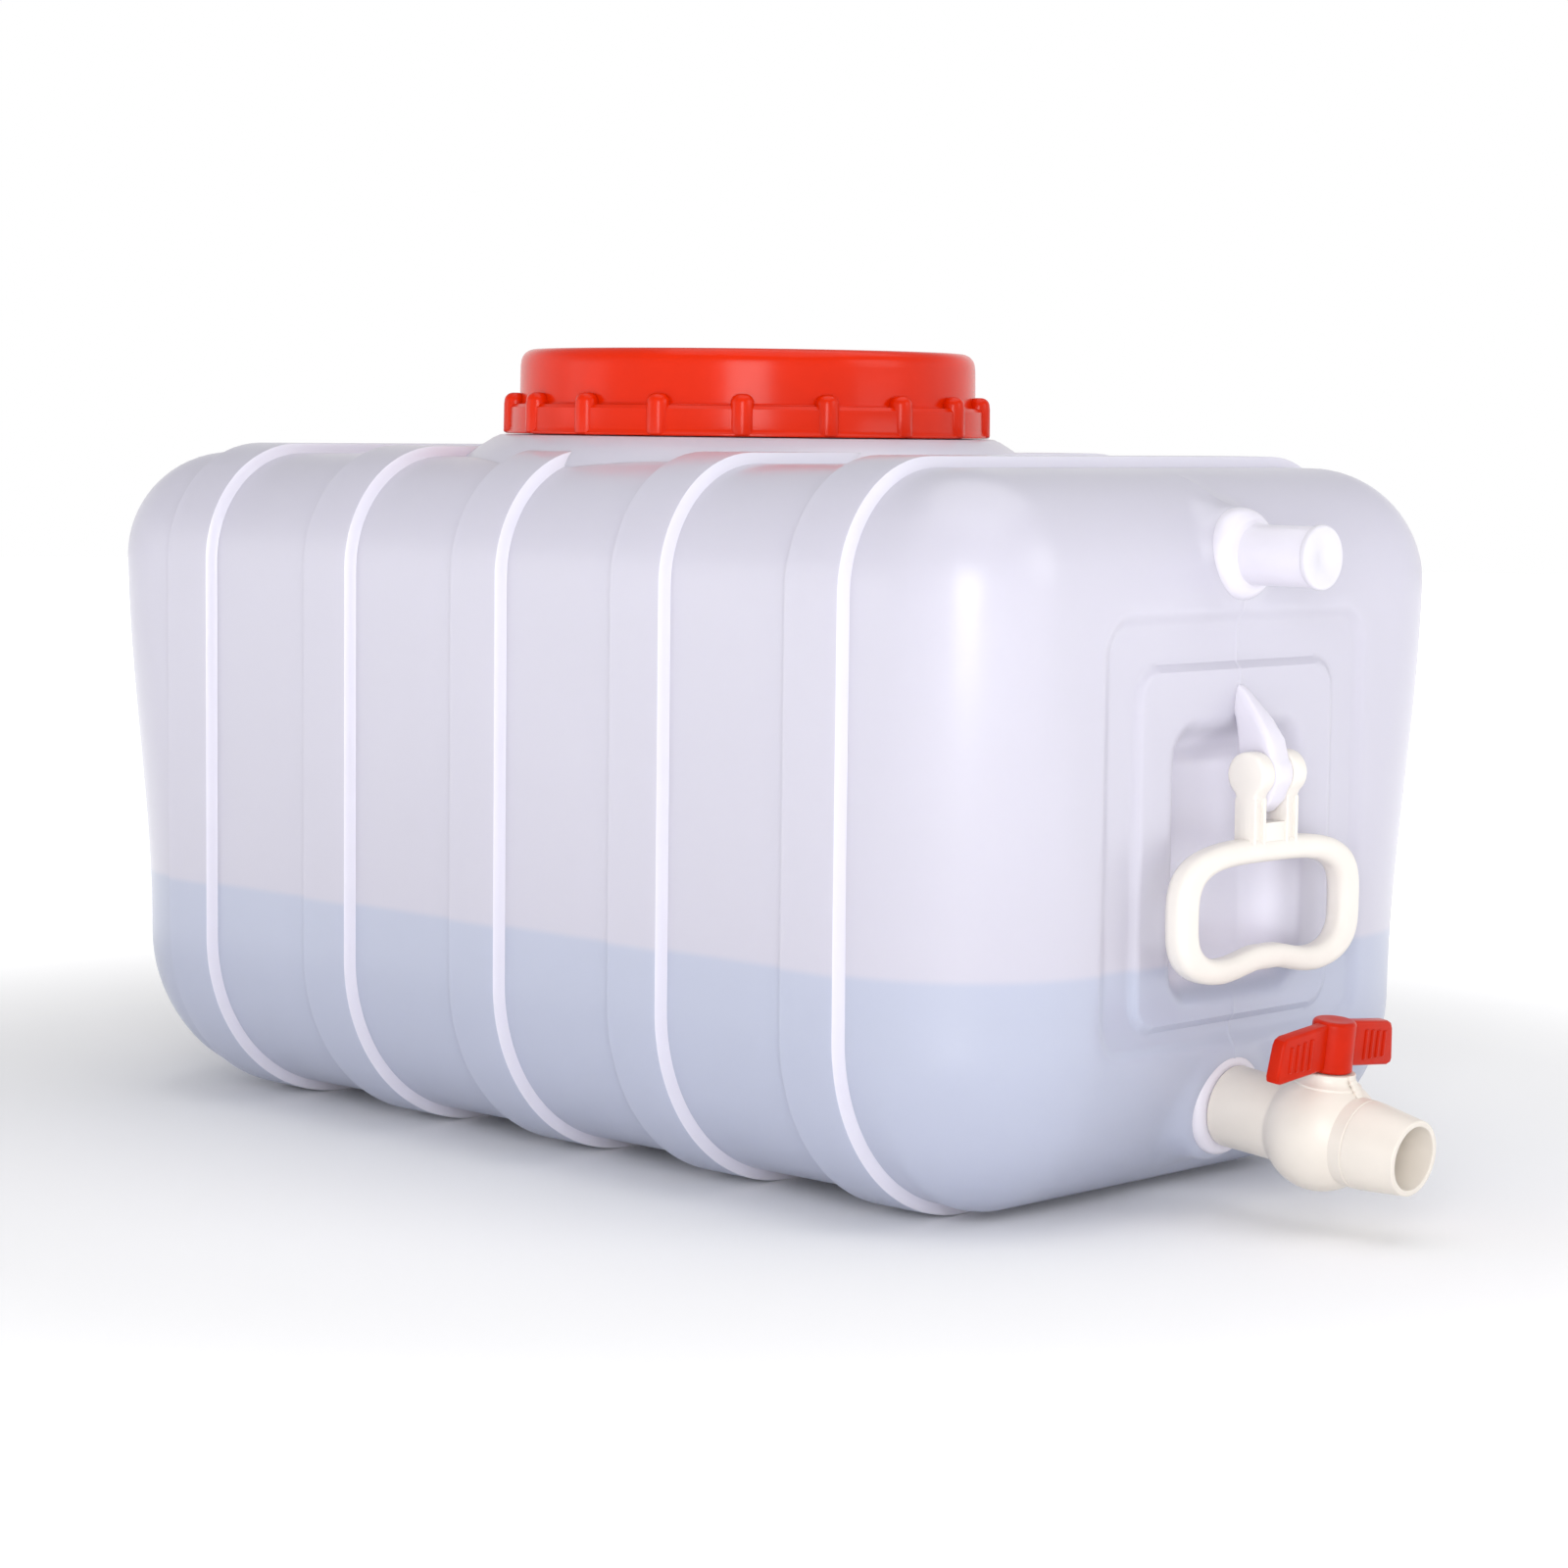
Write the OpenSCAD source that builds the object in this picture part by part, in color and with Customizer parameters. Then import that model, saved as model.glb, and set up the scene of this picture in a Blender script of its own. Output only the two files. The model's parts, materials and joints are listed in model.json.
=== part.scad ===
// Horizontal fresh water tank: blow-moulded polyethylene body with five hoop ribs, a wide screw lid,
// a capped vent stub, a swinging carry handle at each end and a ball valve on the drain outlet.
// +X points to the valve end, +Z is up. The origin is the centre of the base, on the floor.

/* [Tank body] */
// Overall length of the moulded body
body_l = 730; // [650:10:900]
// Overall width, measured over the hoop ribs
body_w = 432; // [380:2:520]
// Overall height of the body, measured over the hoop ribs
body_h = 400; // [360:2:480]
// Wall thickness of the moulding
wall = 4; // [3:0.5:6]
// Radius of the long upper edges, over the ribs
shoulder_r = 70; // [50:1:90]
// Radius of the long lower edges, over the ribs
foot_r = 105; // [80:1:125]

/* [Hoop ribs] */
// Number of hoop ribs
rib_count = 5; // [3:2:5]
// Width of one rib
rib_w = 40; // [30:1:50]
// Distance between rib centres
rib_pitch = 128; // [110:1:135]
// How far the panels lie behind the ribs
rib_depth = 6; // [3:0.5:8]

/* [Neck and lid] */
// Inside diameter of the filling neck
mouth_d = 238; // [180:2:260]
// Wall thickness of the neck
neck_wall = 5; // [4:0.5:8]
// Height of the neck rim above the body
neck_h = 50; // [46:1:60]
// Radial height of the neck thread
thread_h = 3.6; // [2.5:0.1:4]
// Rise of the two-start lid thread in one turn
thread_lead = 24; // [20:1:28]
// Radial gap between the neck thread and the lid
thread_gap = 3.4; // [3:0.1:5]
// Wall thickness of the lid
lid_wall = 3; // [2:0.5:4]
// How far the grip band stands out from the lid's drum
band_step = 7.5; // [5:0.5:10]
// Height of the grip band
band_h = 17; // [12:1:20]
// Number of grip lugs round the lid
lug_count = 18; // [12:1:24]
// Thickness of the lid gasket
gasket_t = 4; // [2:0.5:5]

/* [End faces] */
// Width of the shallow moat round the handle pad
moat_w = 220; // [200:2:230]
// Width of the handle pad inside the moat
pad_w = 166; // [140:2:180]
// Depth of the moat
moat_depth = 4; // [2:0.5:5]
// Width of the finger pocket
pocket_w = 110; // [90:2:130]
// Depth of the finger pocket
pocket_depth = 24; // [15:1:30]

/* [Carry handles] */
// Height of the handle pivot above the floor
pivot_z = 236; // [226:1:246]
// Distance of the handle pivot in front of the end face
pivot_out = 19; // [17:1:24]
// Thickness of the moulded hanging lug
lug_t = 16; // [12:1:20]
// Radius of the pegs that turn in the hanging lug
peg_r = 5.45; // [4:0.05:6]
// Outside width of the handle grip
grip_w = 164; // [140:2:180]
// Outside height of the handle grip
grip_h = 78; // [70:1:90]
// Thickness of the handle grip, front to back
grip_t = 14; // [10:1:16]

/* [Vent] */
// Outside diameter of the vent stub
vent_d = 32; // [24:1:36]
// Length of the vent stub from the end face
vent_l = 48; // [35:1:60]
// Height of the vent's axis above the floor
vent_z = 350; // [345:1:352]

/* [Drain outlet and ball valve] */
// Height of the outlet's axis where it leaves the end face
outlet_z = 57; // [54:1:70]
// Downward tilt of the outlet and valve
outlet_tilt = 6; // [0:1:8]
// Radius of the waterway
bore_r = 11.5; // [9:0.5:12]
// Outside radius of the valve's inlet socket
inlet_r = 22; // [20.5:0.5:23]
// Inside radius of the outlet pipe socket
socket_r = 16.75; // [14:0.25:17]
// Depth of the outlet pipe socket
socket_l = 24; // [18:1:28]
// Outside radius of the round valve body
globe_r = 31; // [29:0.5:34]
// Radius of the valve ball
ball_r = 17; // [15:0.5:18]
// Distance from the outlet boss to the ball's centre
globe_x = 60; // [56:1:64]
// Length of the valve from the outlet boss
valve_l = 118; // [116:1:130]
// Radius of the valve stem
stem_r = 8; // [6:0.5:9]
// Length of the butterfly handle, tip to tip
lever_l = 102; // [80:2:106]
// Height of the butterfly handle
lever_h = 27; // [22:1:30]

/* [Hidden] */
$fn = 72;
run_gap = 0.05;             // radial clearance of a turning fit
fit_gap = 0.2;              // clearance between fixed pieces
end_x = body_l / 2;         // plane of the end faces
panel_y = body_w / 2 - rib_depth;
panel_top = body_h - rib_depth;
last_rib = (rib_count - 1) / 2 * rib_pitch;
block_fn = 40;              // facets of the rounded end blocks

// End face features, as heights above the floor
moat_z = [92, 318];
pad_z = [104, 292];
pocket_z = [116, 262];
face_corner_r = 16;

// Neck
mouth_r = mouth_d / 2;
neck_r = mouth_r + neck_wall;
neck_top = body_h + neck_h;
collar_r = neck_r + thread_h + thread_gap + lid_wall + band_step + 3;
collar_rise = 5;
thread_z = neck_top - 25;   // where the neck thread starts
thread_turn = 250;          // angle that each start covers
thread_root_w = 5.2;
thread_crest_w = 2.6;

// Lid
drum_in = neck_r + thread_h + thread_gap;
drum_r = drum_in + lid_wall;
dish_r = drum_in - 22;       // flat middle of the lid, a little below its rim
band_r = drum_r + band_step;
lid_under = neck_top + gasket_t;
lid_top = lid_under + lid_wall;
lid_foot = body_h + 8;
lug_r = 7;
lug_out = 2.6;              // how far a grip lug stands out from the band
tooth_angle = 22;
tooth_step = 44;
tooth_count = 5;
thread_drop = (thread_root_w + thread_crest_w) / 2 + 1.2;   // lid thread below the neck thread

// Carry handle, measured from its pivot
pivot_x = end_x + pivot_out;
peg_hole_r = peg_r + run_gap;
ear_gap = 0.5;
ear_t = 11;
ear_r = 12;
ear_in = lug_t / 2 + ear_gap;
bridge_top = -25;
grip_top = -33;
grip_mid = grip_top - grip_h / 2;
grip_bar = 14;              // in-plane thickness of the grip above and below
grip_side = 19;             // in-plane thickness of the grip at its sides
grip_dip = 8;               // how far the lower bar rises at its middle
grip_points = 72;

// Vent
vent_r = vent_d / 2;
vent_bore = vent_r - 4;
vent_lip = 1;
vent_lip_t = 4;
vent_plug_l = 14;

// Valve, along its own axis from the outlet boss
nozzle_l = 16;
nozzle_r = 16.2;
nozzle_ridge = 0.4;
inlet_gasket_t = 2.5;
boss_r = 25;
chamber_r = ball_r + 3;
chamber_x = globe_x - ball_r - 2;
seat_t = 8;
seat_front = ball_r + 2 - seat_t;
spigot_l = 9;
split_x = globe_x + ball_r + 2 + spigot_l;   // where the end piece meets the round body
neck_socket_r = 23.5;       // end piece's outside radius at the split
tower_r = 14;
tower_top = 33;
flange_r = stem_r + 2;
flange_z = [ball_r + 0.3, ball_r + 2.8];
seat_step = max(flange_r, seat_front) + 1;   // each seat is stepped to clear the stem's flange
tongue = [5.6, 15];
tongue_depth = 4;
square_w = 9;
lever_z = tower_top + 0.5;
hub_r = 11.5;
square_l = 13;
wing_t = 8;
groove_z = [23, 27.5];      // stem grooves above the ball's centre
groove_w = 2;
ring_t = 1.6;               // thickness of the stem O-rings

// ---------------------------------------------------------------- shared shapes
// Rounded section of the tank, seen along X: x is the tank's Y and y its Z
module hoop_section(half_w, low, high, r_low, r_high) {
    translate([-half_w + r_low, low]) square([2 * (half_w - r_low), r_low]);
    translate([-half_w + r_high, high - r_high]) square([2 * (half_w - r_high), r_high]);
    translate([-half_w, low + r_low]) square([2 * half_w, high - low - r_low - r_high]);
    for (s = [-1, 1]) {
        translate([s * (half_w - r_low), low + r_low]) circle(r_low);
        translate([s * (half_w - r_high), high - r_high]) circle(r_high);
    }
}

// Turns a flat shape into a slab that runs along X from x0
module slab_along_x(x0, length) {
    translate([x0, 0, 0]) rotate([90, 0, 90]) linear_extrude(length) children();
}

// Rounded end block on the +X side, drawn inset by skin
module end_block(skin) {
    r_high = shoulder_r - rib_depth - skin;
    r_low = foot_r - rib_depth / 2 - skin;
    x_in = last_rib;
    hull() {
        slab_along_x(x_in, 1)
            hoop_section(panel_y - skin, skin, panel_top - skin, r_low, r_high, $fn = block_fn);
        for (s = [-1, 1]) {
            translate([end_x - skin - r_high, s * (panel_y - skin - r_high), panel_top - skin - r_high])
                sphere(r_high, $fn = block_fn);
            translate([end_x - skin - r_low, s * (panel_y - skin - r_low), skin + r_low])
                sphere(r_low, $fn = block_fn);
        }
    }
}

// The closed form of the tank, inset by skin: panels, hoop ribs and end blocks
module tank_form(skin) {
    slab_along_x(-last_rib, 2 * last_rib)
        hoop_section(panel_y - skin, rib_depth + skin, panel_top - skin,
                     foot_r - rib_depth - skin, shoulder_r - rib_depth - skin);
    for (i = [0 : rib_count - 1])
        slab_along_x((i - (rib_count - 1) / 2) * rib_pitch - rib_w / 2 + skin, rib_w - 2 * skin)
            hoop_section(body_w / 2 - skin, skin, body_h - skin, foot_r - skin, shoulder_r - skin);
    end_block(skin);
    mirror([1, 0, 0]) end_block(skin);
}

// Rounded plate standing on the +X end face, between two heights and two X planes
module face_plate(width, heights, corner, x0, x1) {
    slab_along_x(x0, x1 - x0) union() {
        translate([-width / 2 + corner, heights[0]])
            square([width - 2 * corner, heights[1] - heights[0]]);
        translate([-width / 2, heights[0] + corner])
            square([width, heights[1] - heights[0] - 2 * corner]);
        for (s = [-1, 1], z = [heights[0] + corner, heights[1] - corner])
            translate([s * (width / 2 - corner), z]) circle(corner);
    }
}

// One start of the neck thread: a ridge that climbs from thread_z and fades out at both ends
module neck_thread(start) {
    root = neck_r - 0.8;
    steps = 25;
    points = [for (i = [0 : steps])
        let (a = start + thread_turn * i / steps,
             z = thread_z + thread_lead * thread_turn * i / steps / 360,
             crest = (i == 0 || i == steps) ? root + 0.4 : neck_r + thread_h)
        for (p = [[root, -thread_root_w / 2], [crest, -thread_crest_w / 2],
                  [crest, thread_crest_w / 2], [root, thread_root_w / 2]])
            [p[0] * cos(a), p[0] * sin(a), z + p[1]]];
    sides = [for (i = [0 : steps - 1], k = [0 : 3])
        let (a = 4 * i + k, b = 4 * i + (k + 1) % 4)
        each [[a + 4, b, a], [a + 4, b + 4, b]]];
    last = 4 * steps;
    ends = [[1, 2, 0], [2, 3, 0], [last + 2, last + 1, last], [last + 3, last + 2, last]];
    polyhedron(points, concat(sides, ends));
}

// One start of the lid's interrupted thread: level teeth that step up along the same helix
module lid_thread(start) {
    root = drum_in + 0.8;
    crest = neck_r + 1;
    for (i = [0 : tooth_count - 1])
        translate([0, 0, thread_z - thread_drop + thread_lead * (i * tooth_step + tooth_angle / 2) / 360])
            rotate([0, 0, start + i * tooth_step]) rotate_extrude(angle = tooth_angle)
                polygon([[root, -thread_root_w / 2], [crest, -thread_crest_w / 2],
                         [crest, thread_crest_w / 2], [root, thread_root_w / 2]]);
}

// Places its children on the outlet's tilted axis: their X runs out of the tank
module at_outlet() {
    translate([end_x, 0, outlet_z]) rotate([0, outlet_tilt, 0]) children();
}

// Turns a profile round the outlet's axis: profile x is the radius, y the distance along it
module turned() {
    rotate([0, 90, 0]) rotate_extrude() children();
}

// ---------------------------------------------------------------- tank shell
module hanging_lug() {
    x = pivot_x;
    z = pivot_z;
    difference() {
        translate([0, lug_t / 2, 0]) rotate([90, 0, 0]) linear_extrude(lug_t)
            polygon([[end_x - wall / 2, z + 46], [end_x + 1, z + 45], [x - 10, z + 34],
                     [x - 2, z + 25], [x + 6, z + 16], [x + 11, z + 6], [x + 12, z - 2],
                     [x + 10, z - 10], [x + 5, z - 17], [x - 2, z - 21.5], [x - 9, z - 21],
                     [x - 13, z - 16], [x - 14, z], [end_x - 6, z + 14], [end_x - pocket_depth - wall / 2, z + 22],
                     [end_x - pocket_depth - wall / 2, z + 30]]);
        translate([x, 0, z]) rotate([90, 0, 0])
            cylinder(r = peg_hole_r, h = lug_t + 2, center = true);
    }
}

module end_recess() {
    difference() {
        face_plate(moat_w, moat_z, face_corner_r, end_x - moat_depth, end_x + 1);
        face_plate(pad_w, pad_z, face_corner_r, end_x - moat_depth - 1, end_x + 2);
    }
    face_plate(pocket_w, pocket_z, face_corner_r, end_x - pocket_depth, end_x + 1);
}

// Material that keeps the wall whole behind the recesses
module end_liner() {
    face_plate(moat_w + 2 * wall, [moat_z[0] - wall, moat_z[1] + wall], face_corner_r + wall,
               end_x - moat_depth - wall, end_x);
    face_plate(pocket_w + 2 * wall, [pocket_z[0] - wall, pocket_z[1] + wall], face_corner_r + wall,
               end_x - pocket_depth - wall, end_x);
}

module outlet_boss() {
    at_outlet() turned()
        polygon([[0, -24], [48, -24], [42, -15], [35, -9], [29, -5], [boss_r + 0.5, -1.5],
                 [boss_r, 0], [nozzle_r, 0],
                 for (i = [0 : 4]) each [[nozzle_r, 3 + 2.4 * i], [nozzle_r + nozzle_ridge, 3.6 + 2.4 * i],
                                         [nozzle_r + nozzle_ridge, 4 + 2.4 * i], [nozzle_r, 4.6 + 2.4 * i]],
                 [nozzle_r, nozzle_l - 1], [nozzle_r - 1, nozzle_l], [0, nozzle_l]]);
}

module outlet_bore() {
    at_outlet() translate([-30, 0, 0]) rotate([0, 90, 0]) cylinder(r = bore_r, h = nozzle_l + 31);
}

module vent_stub() {
    translate([end_x, 0, vent_z]) turned()
        polygon([[0, -wall], [29, -wall], [29, 1], [28, 4], [25, 7.5], [21, 10], [18, 11.5],
                 [vent_r, 14], [vent_r, vent_l], [0, vent_l]]);
}

module vent_bore_cut() {
    translate([end_x - wall - 12, 0, vent_z]) rotate([0, 90, 0])
        cylinder(r = vent_bore, h = vent_l + wall + 13);
}

module neck() {
    rotate_extrude()
        polygon([[0, panel_top - wall - 1], [collar_r + 22, panel_top - 2], [collar_r + 12, body_h + 1.5],
                 [collar_r + 4, body_h + 4], [collar_r, body_h + collar_rise],
                 [neck_r + 3, body_h + collar_rise], [neck_r, body_h + collar_rise + 3],
                 [neck_r, neck_top - 1.5], [neck_r - 1.5, neck_top], [0, neck_top]]);
}

module tank_shell() {
    color("#e4e2ee") union() {
        difference() {
            union() {
                difference() {
                    tank_form(0);
                    end_recess();
                    mirror([1, 0, 0]) end_recess();
                }
                outlet_boss();
                vent_stub();
                neck();
            }
            difference() {
                tank_form(wall);
                end_liner();
                mirror([1, 0, 0]) end_liner();
            }
            translate([0, 0, panel_top - 2 * wall])
                cylinder(r = mouth_r, h = neck_h + rib_depth + 2 * wall + 1, $fn = 180);
            outlet_bore();
            vent_bore_cut();
        }
        hanging_lug();
        mirror([1, 0, 0]) hanging_lug();
        for (start = [0, 180]) neck_thread(start);
    }
}

// ---------------------------------------------------------------- lid
module lid_outer() {
    rotate_extrude()
        polygon([[0, lid_foot], [band_r - 0.5, lid_foot], [band_r, lid_foot + 1],
                 [band_r - 0.6, lid_foot + band_h - 1], [band_r - 1.6, lid_foot + band_h],
                 [drum_r + 1, lid_foot + band_h], [drum_r, lid_foot + band_h + 2],
                 for (a = [0 : 15 : 90])
                     [drum_r - 1 - 8 * (1 - cos(a)), lid_top - 8 + 8 * sin(a)],
                 [dish_r + 3, lid_top], [dish_r, lid_top - 2], [0, lid_top - 2]]);
}

module lid_inner() {
    rotate_extrude()
        polygon([[0, lid_foot - 1], [band_r - lid_wall, lid_foot - 1],
                 [band_r - lid_wall, lid_foot + band_h - lid_wall], [drum_in, lid_foot + band_h - lid_wall],
                 [drum_in, lid_under - 3], [drum_in - 3, lid_under],
                 [dish_r + 5, lid_under], [dish_r + 2, lid_under - 2],
                 [0, lid_under - 2]]);
}

module lid() {
    color("#e03a1c") union() {
        difference() {
            union() {
                lid_outer();
                for (i = [0 : lug_count - 1])
                    rotate([0, 0, (i + 0.65) * 360 / lug_count])
                        translate([band_r + lug_out - lug_r, 0, lid_foot + 0.5])
                            rotate_extrude() polygon([[0, 0], [lug_r, 0], [lug_r, band_h + 1],
                                [lug_r - 1.5, band_h + 4.5], [lug_r - 4, band_h + 6.5], [0, band_h + 6.5]]);
            }
            lid_inner();
        }
        for (start = [0, 180]) lid_thread(start);
    }
}

module lid_gasket() {
    color("#f2f0ea") difference() {
        translate([0, 0, neck_top]) cylinder(r = neck_r + 2, h = gasket_t, $fn = 180);
        translate([0, 0, neck_top - 1]) cylinder(r = mouth_r + 0.5, h = gasket_t + 2, $fn = 180);
    }
}

// ---------------------------------------------------------------- vent cap
module vent_cap() {
    color("#f4f1f8") translate([end_x + vent_l, 0, vent_z]) turned()
        polygon([[0, -vent_plug_l], [vent_bore - 1.2, -vent_plug_l], [vent_bore - fit_gap, -vent_plug_l + 3],
                 [vent_bore - fit_gap, 0], [vent_r + vent_lip, 0],
                 [vent_r + vent_lip, vent_lip_t - 1.5], [vent_r - 0.5, vent_lip_t], [0, vent_lip_t]]);
}

// ---------------------------------------------------------------- carry handle
// Grip outline as a rounded loop with a raised lower middle; side is +1 outside and -1 inside
function grip_outline(side) = [for (i = [0 : grip_points - 1])
    let (t = 360 * i / grip_points,
         a = grip_w / 2 - (side > 0 ? 0 : grip_side),
         b = grip_h / 2 - (side > 0 ? 0 : grip_bar),
         power = side > 0 ? 0.62 : 0.55,
         y = a * sign(cos(t)) * pow(abs(cos(t)), power),
         flat = b * sign(sin(t)) * pow(abs(sin(t)), power),
         rise = flat < 0 ? grip_dip * exp(-pow(y / 30, 2)) * (-flat / b) : 0)
    [y, grip_mid + flat + rise]];

module carry_handle() {
    union() {
        translate([-grip_t / 2, 0, 0]) rotate([90, 0, 90]) linear_extrude(grip_t) difference() {
            polygon(grip_outline(1));
            polygon(grip_outline(-1));
        }
        for (s = [0, 1]) mirror([0, s, 0]) {
            translate([0, ear_in + ear_t, 0]) rotate([90, 0, 0]) cylinder(r = ear_r, h = ear_t);
            translate([-grip_t / 2, ear_in, grip_top - 8]) cube([grip_t, ear_t, -grip_top + 8]);
            translate([0, ear_in + 1, 0]) rotate([90, 0, 0]) cylinder(r = peg_r, h = 7);
        }
        translate([-grip_t / 2, -ear_in - 1, grip_top - 8])
            cube([grip_t, 2 * ear_in + 2, bridge_top - grip_top + 8]);
    }
}

module handle_front() {
    color("#f3f0ea") translate([pivot_x, 0, pivot_z]) carry_handle();
}

module handle_rear() {
    color("#f3f0ea") mirror([1, 0, 0]) translate([pivot_x, 0, pivot_z]) carry_handle();
}

// ---------------------------------------------------------------- ball valve
module valve_body() {
    gasket_x = nozzle_l + inlet_gasket_t;
    socket_in = nozzle_r + nozzle_ridge + fit_gap;
    first = acos(inlet_r / globe_r);
    last = acos(neck_socket_r / globe_r);
    color("#f1ece2") at_outlet() difference() {
        union() {
            turned() polygon([
                [socket_in, 0.5], [inlet_r, 0.5],
                for (i = [0 : 12]) let (a = -first + (first + last) * i / 12)
                    [globe_r * cos(a), globe_x + globe_r * sin(a)],
                [neck_socket_r, split_x], [chamber_r, split_x],
                [chamber_r, chamber_x], [bore_r, chamber_x], [bore_r, gasket_x], [socket_in, gasket_x]]);
            translate([globe_x, 0, chamber_r + 1]) cylinder(r = tower_r, h = tower_top - chamber_r - 1);
        }
        translate([globe_x, 0, 5]) cylinder(r = flange_r + fit_gap, h = flange_z[1] + fit_gap - 5);
        translate([globe_x, 0, 5]) cylinder(r = stem_r + run_gap, h = tower_top);
    }
}

module valve_end_piece() {
    taper_r = socket_r + 3.3;
    color("#f1ece2") at_outlet() turned()
        polygon([[bore_r, split_x - spigot_l], [chamber_r - fit_gap, split_x - spigot_l],
                 [chamber_r - fit_gap, split_x - 5.4], [chamber_r - 1.8, split_x - 5.4],
                 [chamber_r - 1.8, split_x - 3.4], [chamber_r - fit_gap, split_x - 3.4],
                 [chamber_r - fit_gap, split_x], [neck_socket_r, split_x],
                 [neck_socket_r, split_x + 4], [taper_r, valve_l - 1], [taper_r - 1, valve_l],
                 [socket_r + 0.6, valve_l], [socket_r, valve_l - 0.6], [socket_r, valve_l - socket_l],
                 [bore_r, valve_l - socket_l - 4]]);
}

module valve_end_o_ring() {
    color("#2c2c2e") at_outlet() rotate([0, 90, 0]) translate([0, 0, split_x - 4.4])
        rotate_extrude() translate([chamber_r - 0.95, 0]) circle(0.85);
}

module valve_ball() {
    color("#e9e7e0") at_outlet() translate([globe_x, 0, 0]) difference() {
        sphere(ball_r);
        rotate([90, 0, 0]) cylinder(r = bore_r, h = 2 * ball_r + 2, center = true);
        translate([-tongue[0] / 2 - run_gap, -tongue[1] / 2 - run_gap, ball_r - tongue_depth - 1])
            cube([tongue[0] + 2 * run_gap, tongue[1] + 2 * run_gap, tongue_depth + 2]);
    }
}

module valve_seat(flip) {
    color("#fbfbfb") at_outlet() translate([globe_x, 0, 0]) rotate([0, flip ? 180 : 0, 0])
        difference() {
            rotate([0, -90, 0]) rotate_extrude()
                polygon([[bore_r, seat_front], [ball_r - 0.2, seat_front], [ball_r - 0.2, seat_step],
                         [chamber_r - fit_gap, seat_step], [chamber_r - fit_gap, ball_r + 2],
                         [bore_r, ball_r + 2]]);
            sphere(ball_r + run_gap);
        }
}

module valve_seat_inlet() { valve_seat(false); }
module valve_seat_outlet() { valve_seat(true); }

module valve_stem() {
    color("#e9e7e0") at_outlet() translate([globe_x, 0, 0]) difference() {
        union() {
            translate([0, 0, flange_z[0]]) cylinder(r = stem_r, h = lever_z + 0.4 - flange_z[0]);
            translate([0, 0, flange_z[0]]) cylinder(r = flange_r, h = flange_z[1] - flange_z[0]);
            translate([-tongue[0] / 2, -tongue[1] / 2, ball_r - tongue_depth])
                cube([tongue[0], tongue[1], tongue_depth + 1]);
            translate([-square_w / 2, -square_w / 2, lever_z - 1])
                cube([square_w, square_w, square_l]);
        }
        for (z = groove_z) translate([0, 0, z]) difference() {
            cylinder(r = stem_r + 1, h = groove_w);
            translate([0, 0, -1]) cylinder(r = stem_r - ring_t, h = groove_w + 2);
        }
    }
}

module stem_o_rings() {
    color("#2c2c2e") at_outlet() for (z = groove_z) translate([globe_x, 0, z + groove_w / 2])
        rotate_extrude() translate([stem_r - ring_t / 2, 0]) circle(ring_t / 2);
}

module valve_handle() {
    tip = lever_l / 2;
    color("#dc3d1d") at_outlet() translate([globe_x, 0, lever_z]) difference() {
        union() {
            cylinder(r = hub_r, h = lever_h);
            for (s = [0, 1]) mirror([0, s, 0]) slab_along_x(-wing_t / 2, wing_t)
                polygon([[0, 1], [tower_r + 1.5, 1], [tip - 4, -2], [tip, 0.5], [tip - 3, lever_h - 8],
                         [tip - 6, lever_h - 5], [hub_r, lever_h - 1], [0, lever_h - 1]]);
            for (s = [0, 1], x = [-1, 1], i = [0 : 3]) mirror([0, s, 0])
                translate([x * wing_t / 2, tip - 9 - 5.5 * i, 4])
                    cylinder(r = 1.1, h = lever_h - 13 + 0.8 * i);
        }
        translate([-square_w / 2 - run_gap, -square_w / 2 - run_gap, -1])
            cube([square_w + 2 * run_gap, square_w + 2 * run_gap, square_l + 0.2]);
        translate([0, 0, -1]) cylinder(r = stem_r + fit_gap, h = 1.7);
    }
}

module inlet_gasket() {
    color("#2c2c2e") at_outlet() turned()
        polygon([[bore_r + 0.5, nozzle_l], [nozzle_r, nozzle_l],
                 [nozzle_r, nozzle_l + inlet_gasket_t], [bore_r + 0.5, nozzle_l + inlet_gasket_t]]);
}

tank_shell();
lid();
lid_gasket();
vent_cap();
handle_front();
handle_rear();
valve_body();
valve_end_piece();
valve_end_o_ring();
valve_ball();
valve_seat_inlet();
valve_seat_outlet();
valve_stem();
stem_o_rings();
valve_handle();
inlet_gasket();
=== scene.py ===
import json
import math

import bmesh
import bpy
import numpy as np
from bpy.props import FloatProperty, FloatVectorProperty, IntProperty, PointerProperty
from mathutils import Matrix, Vector


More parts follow.
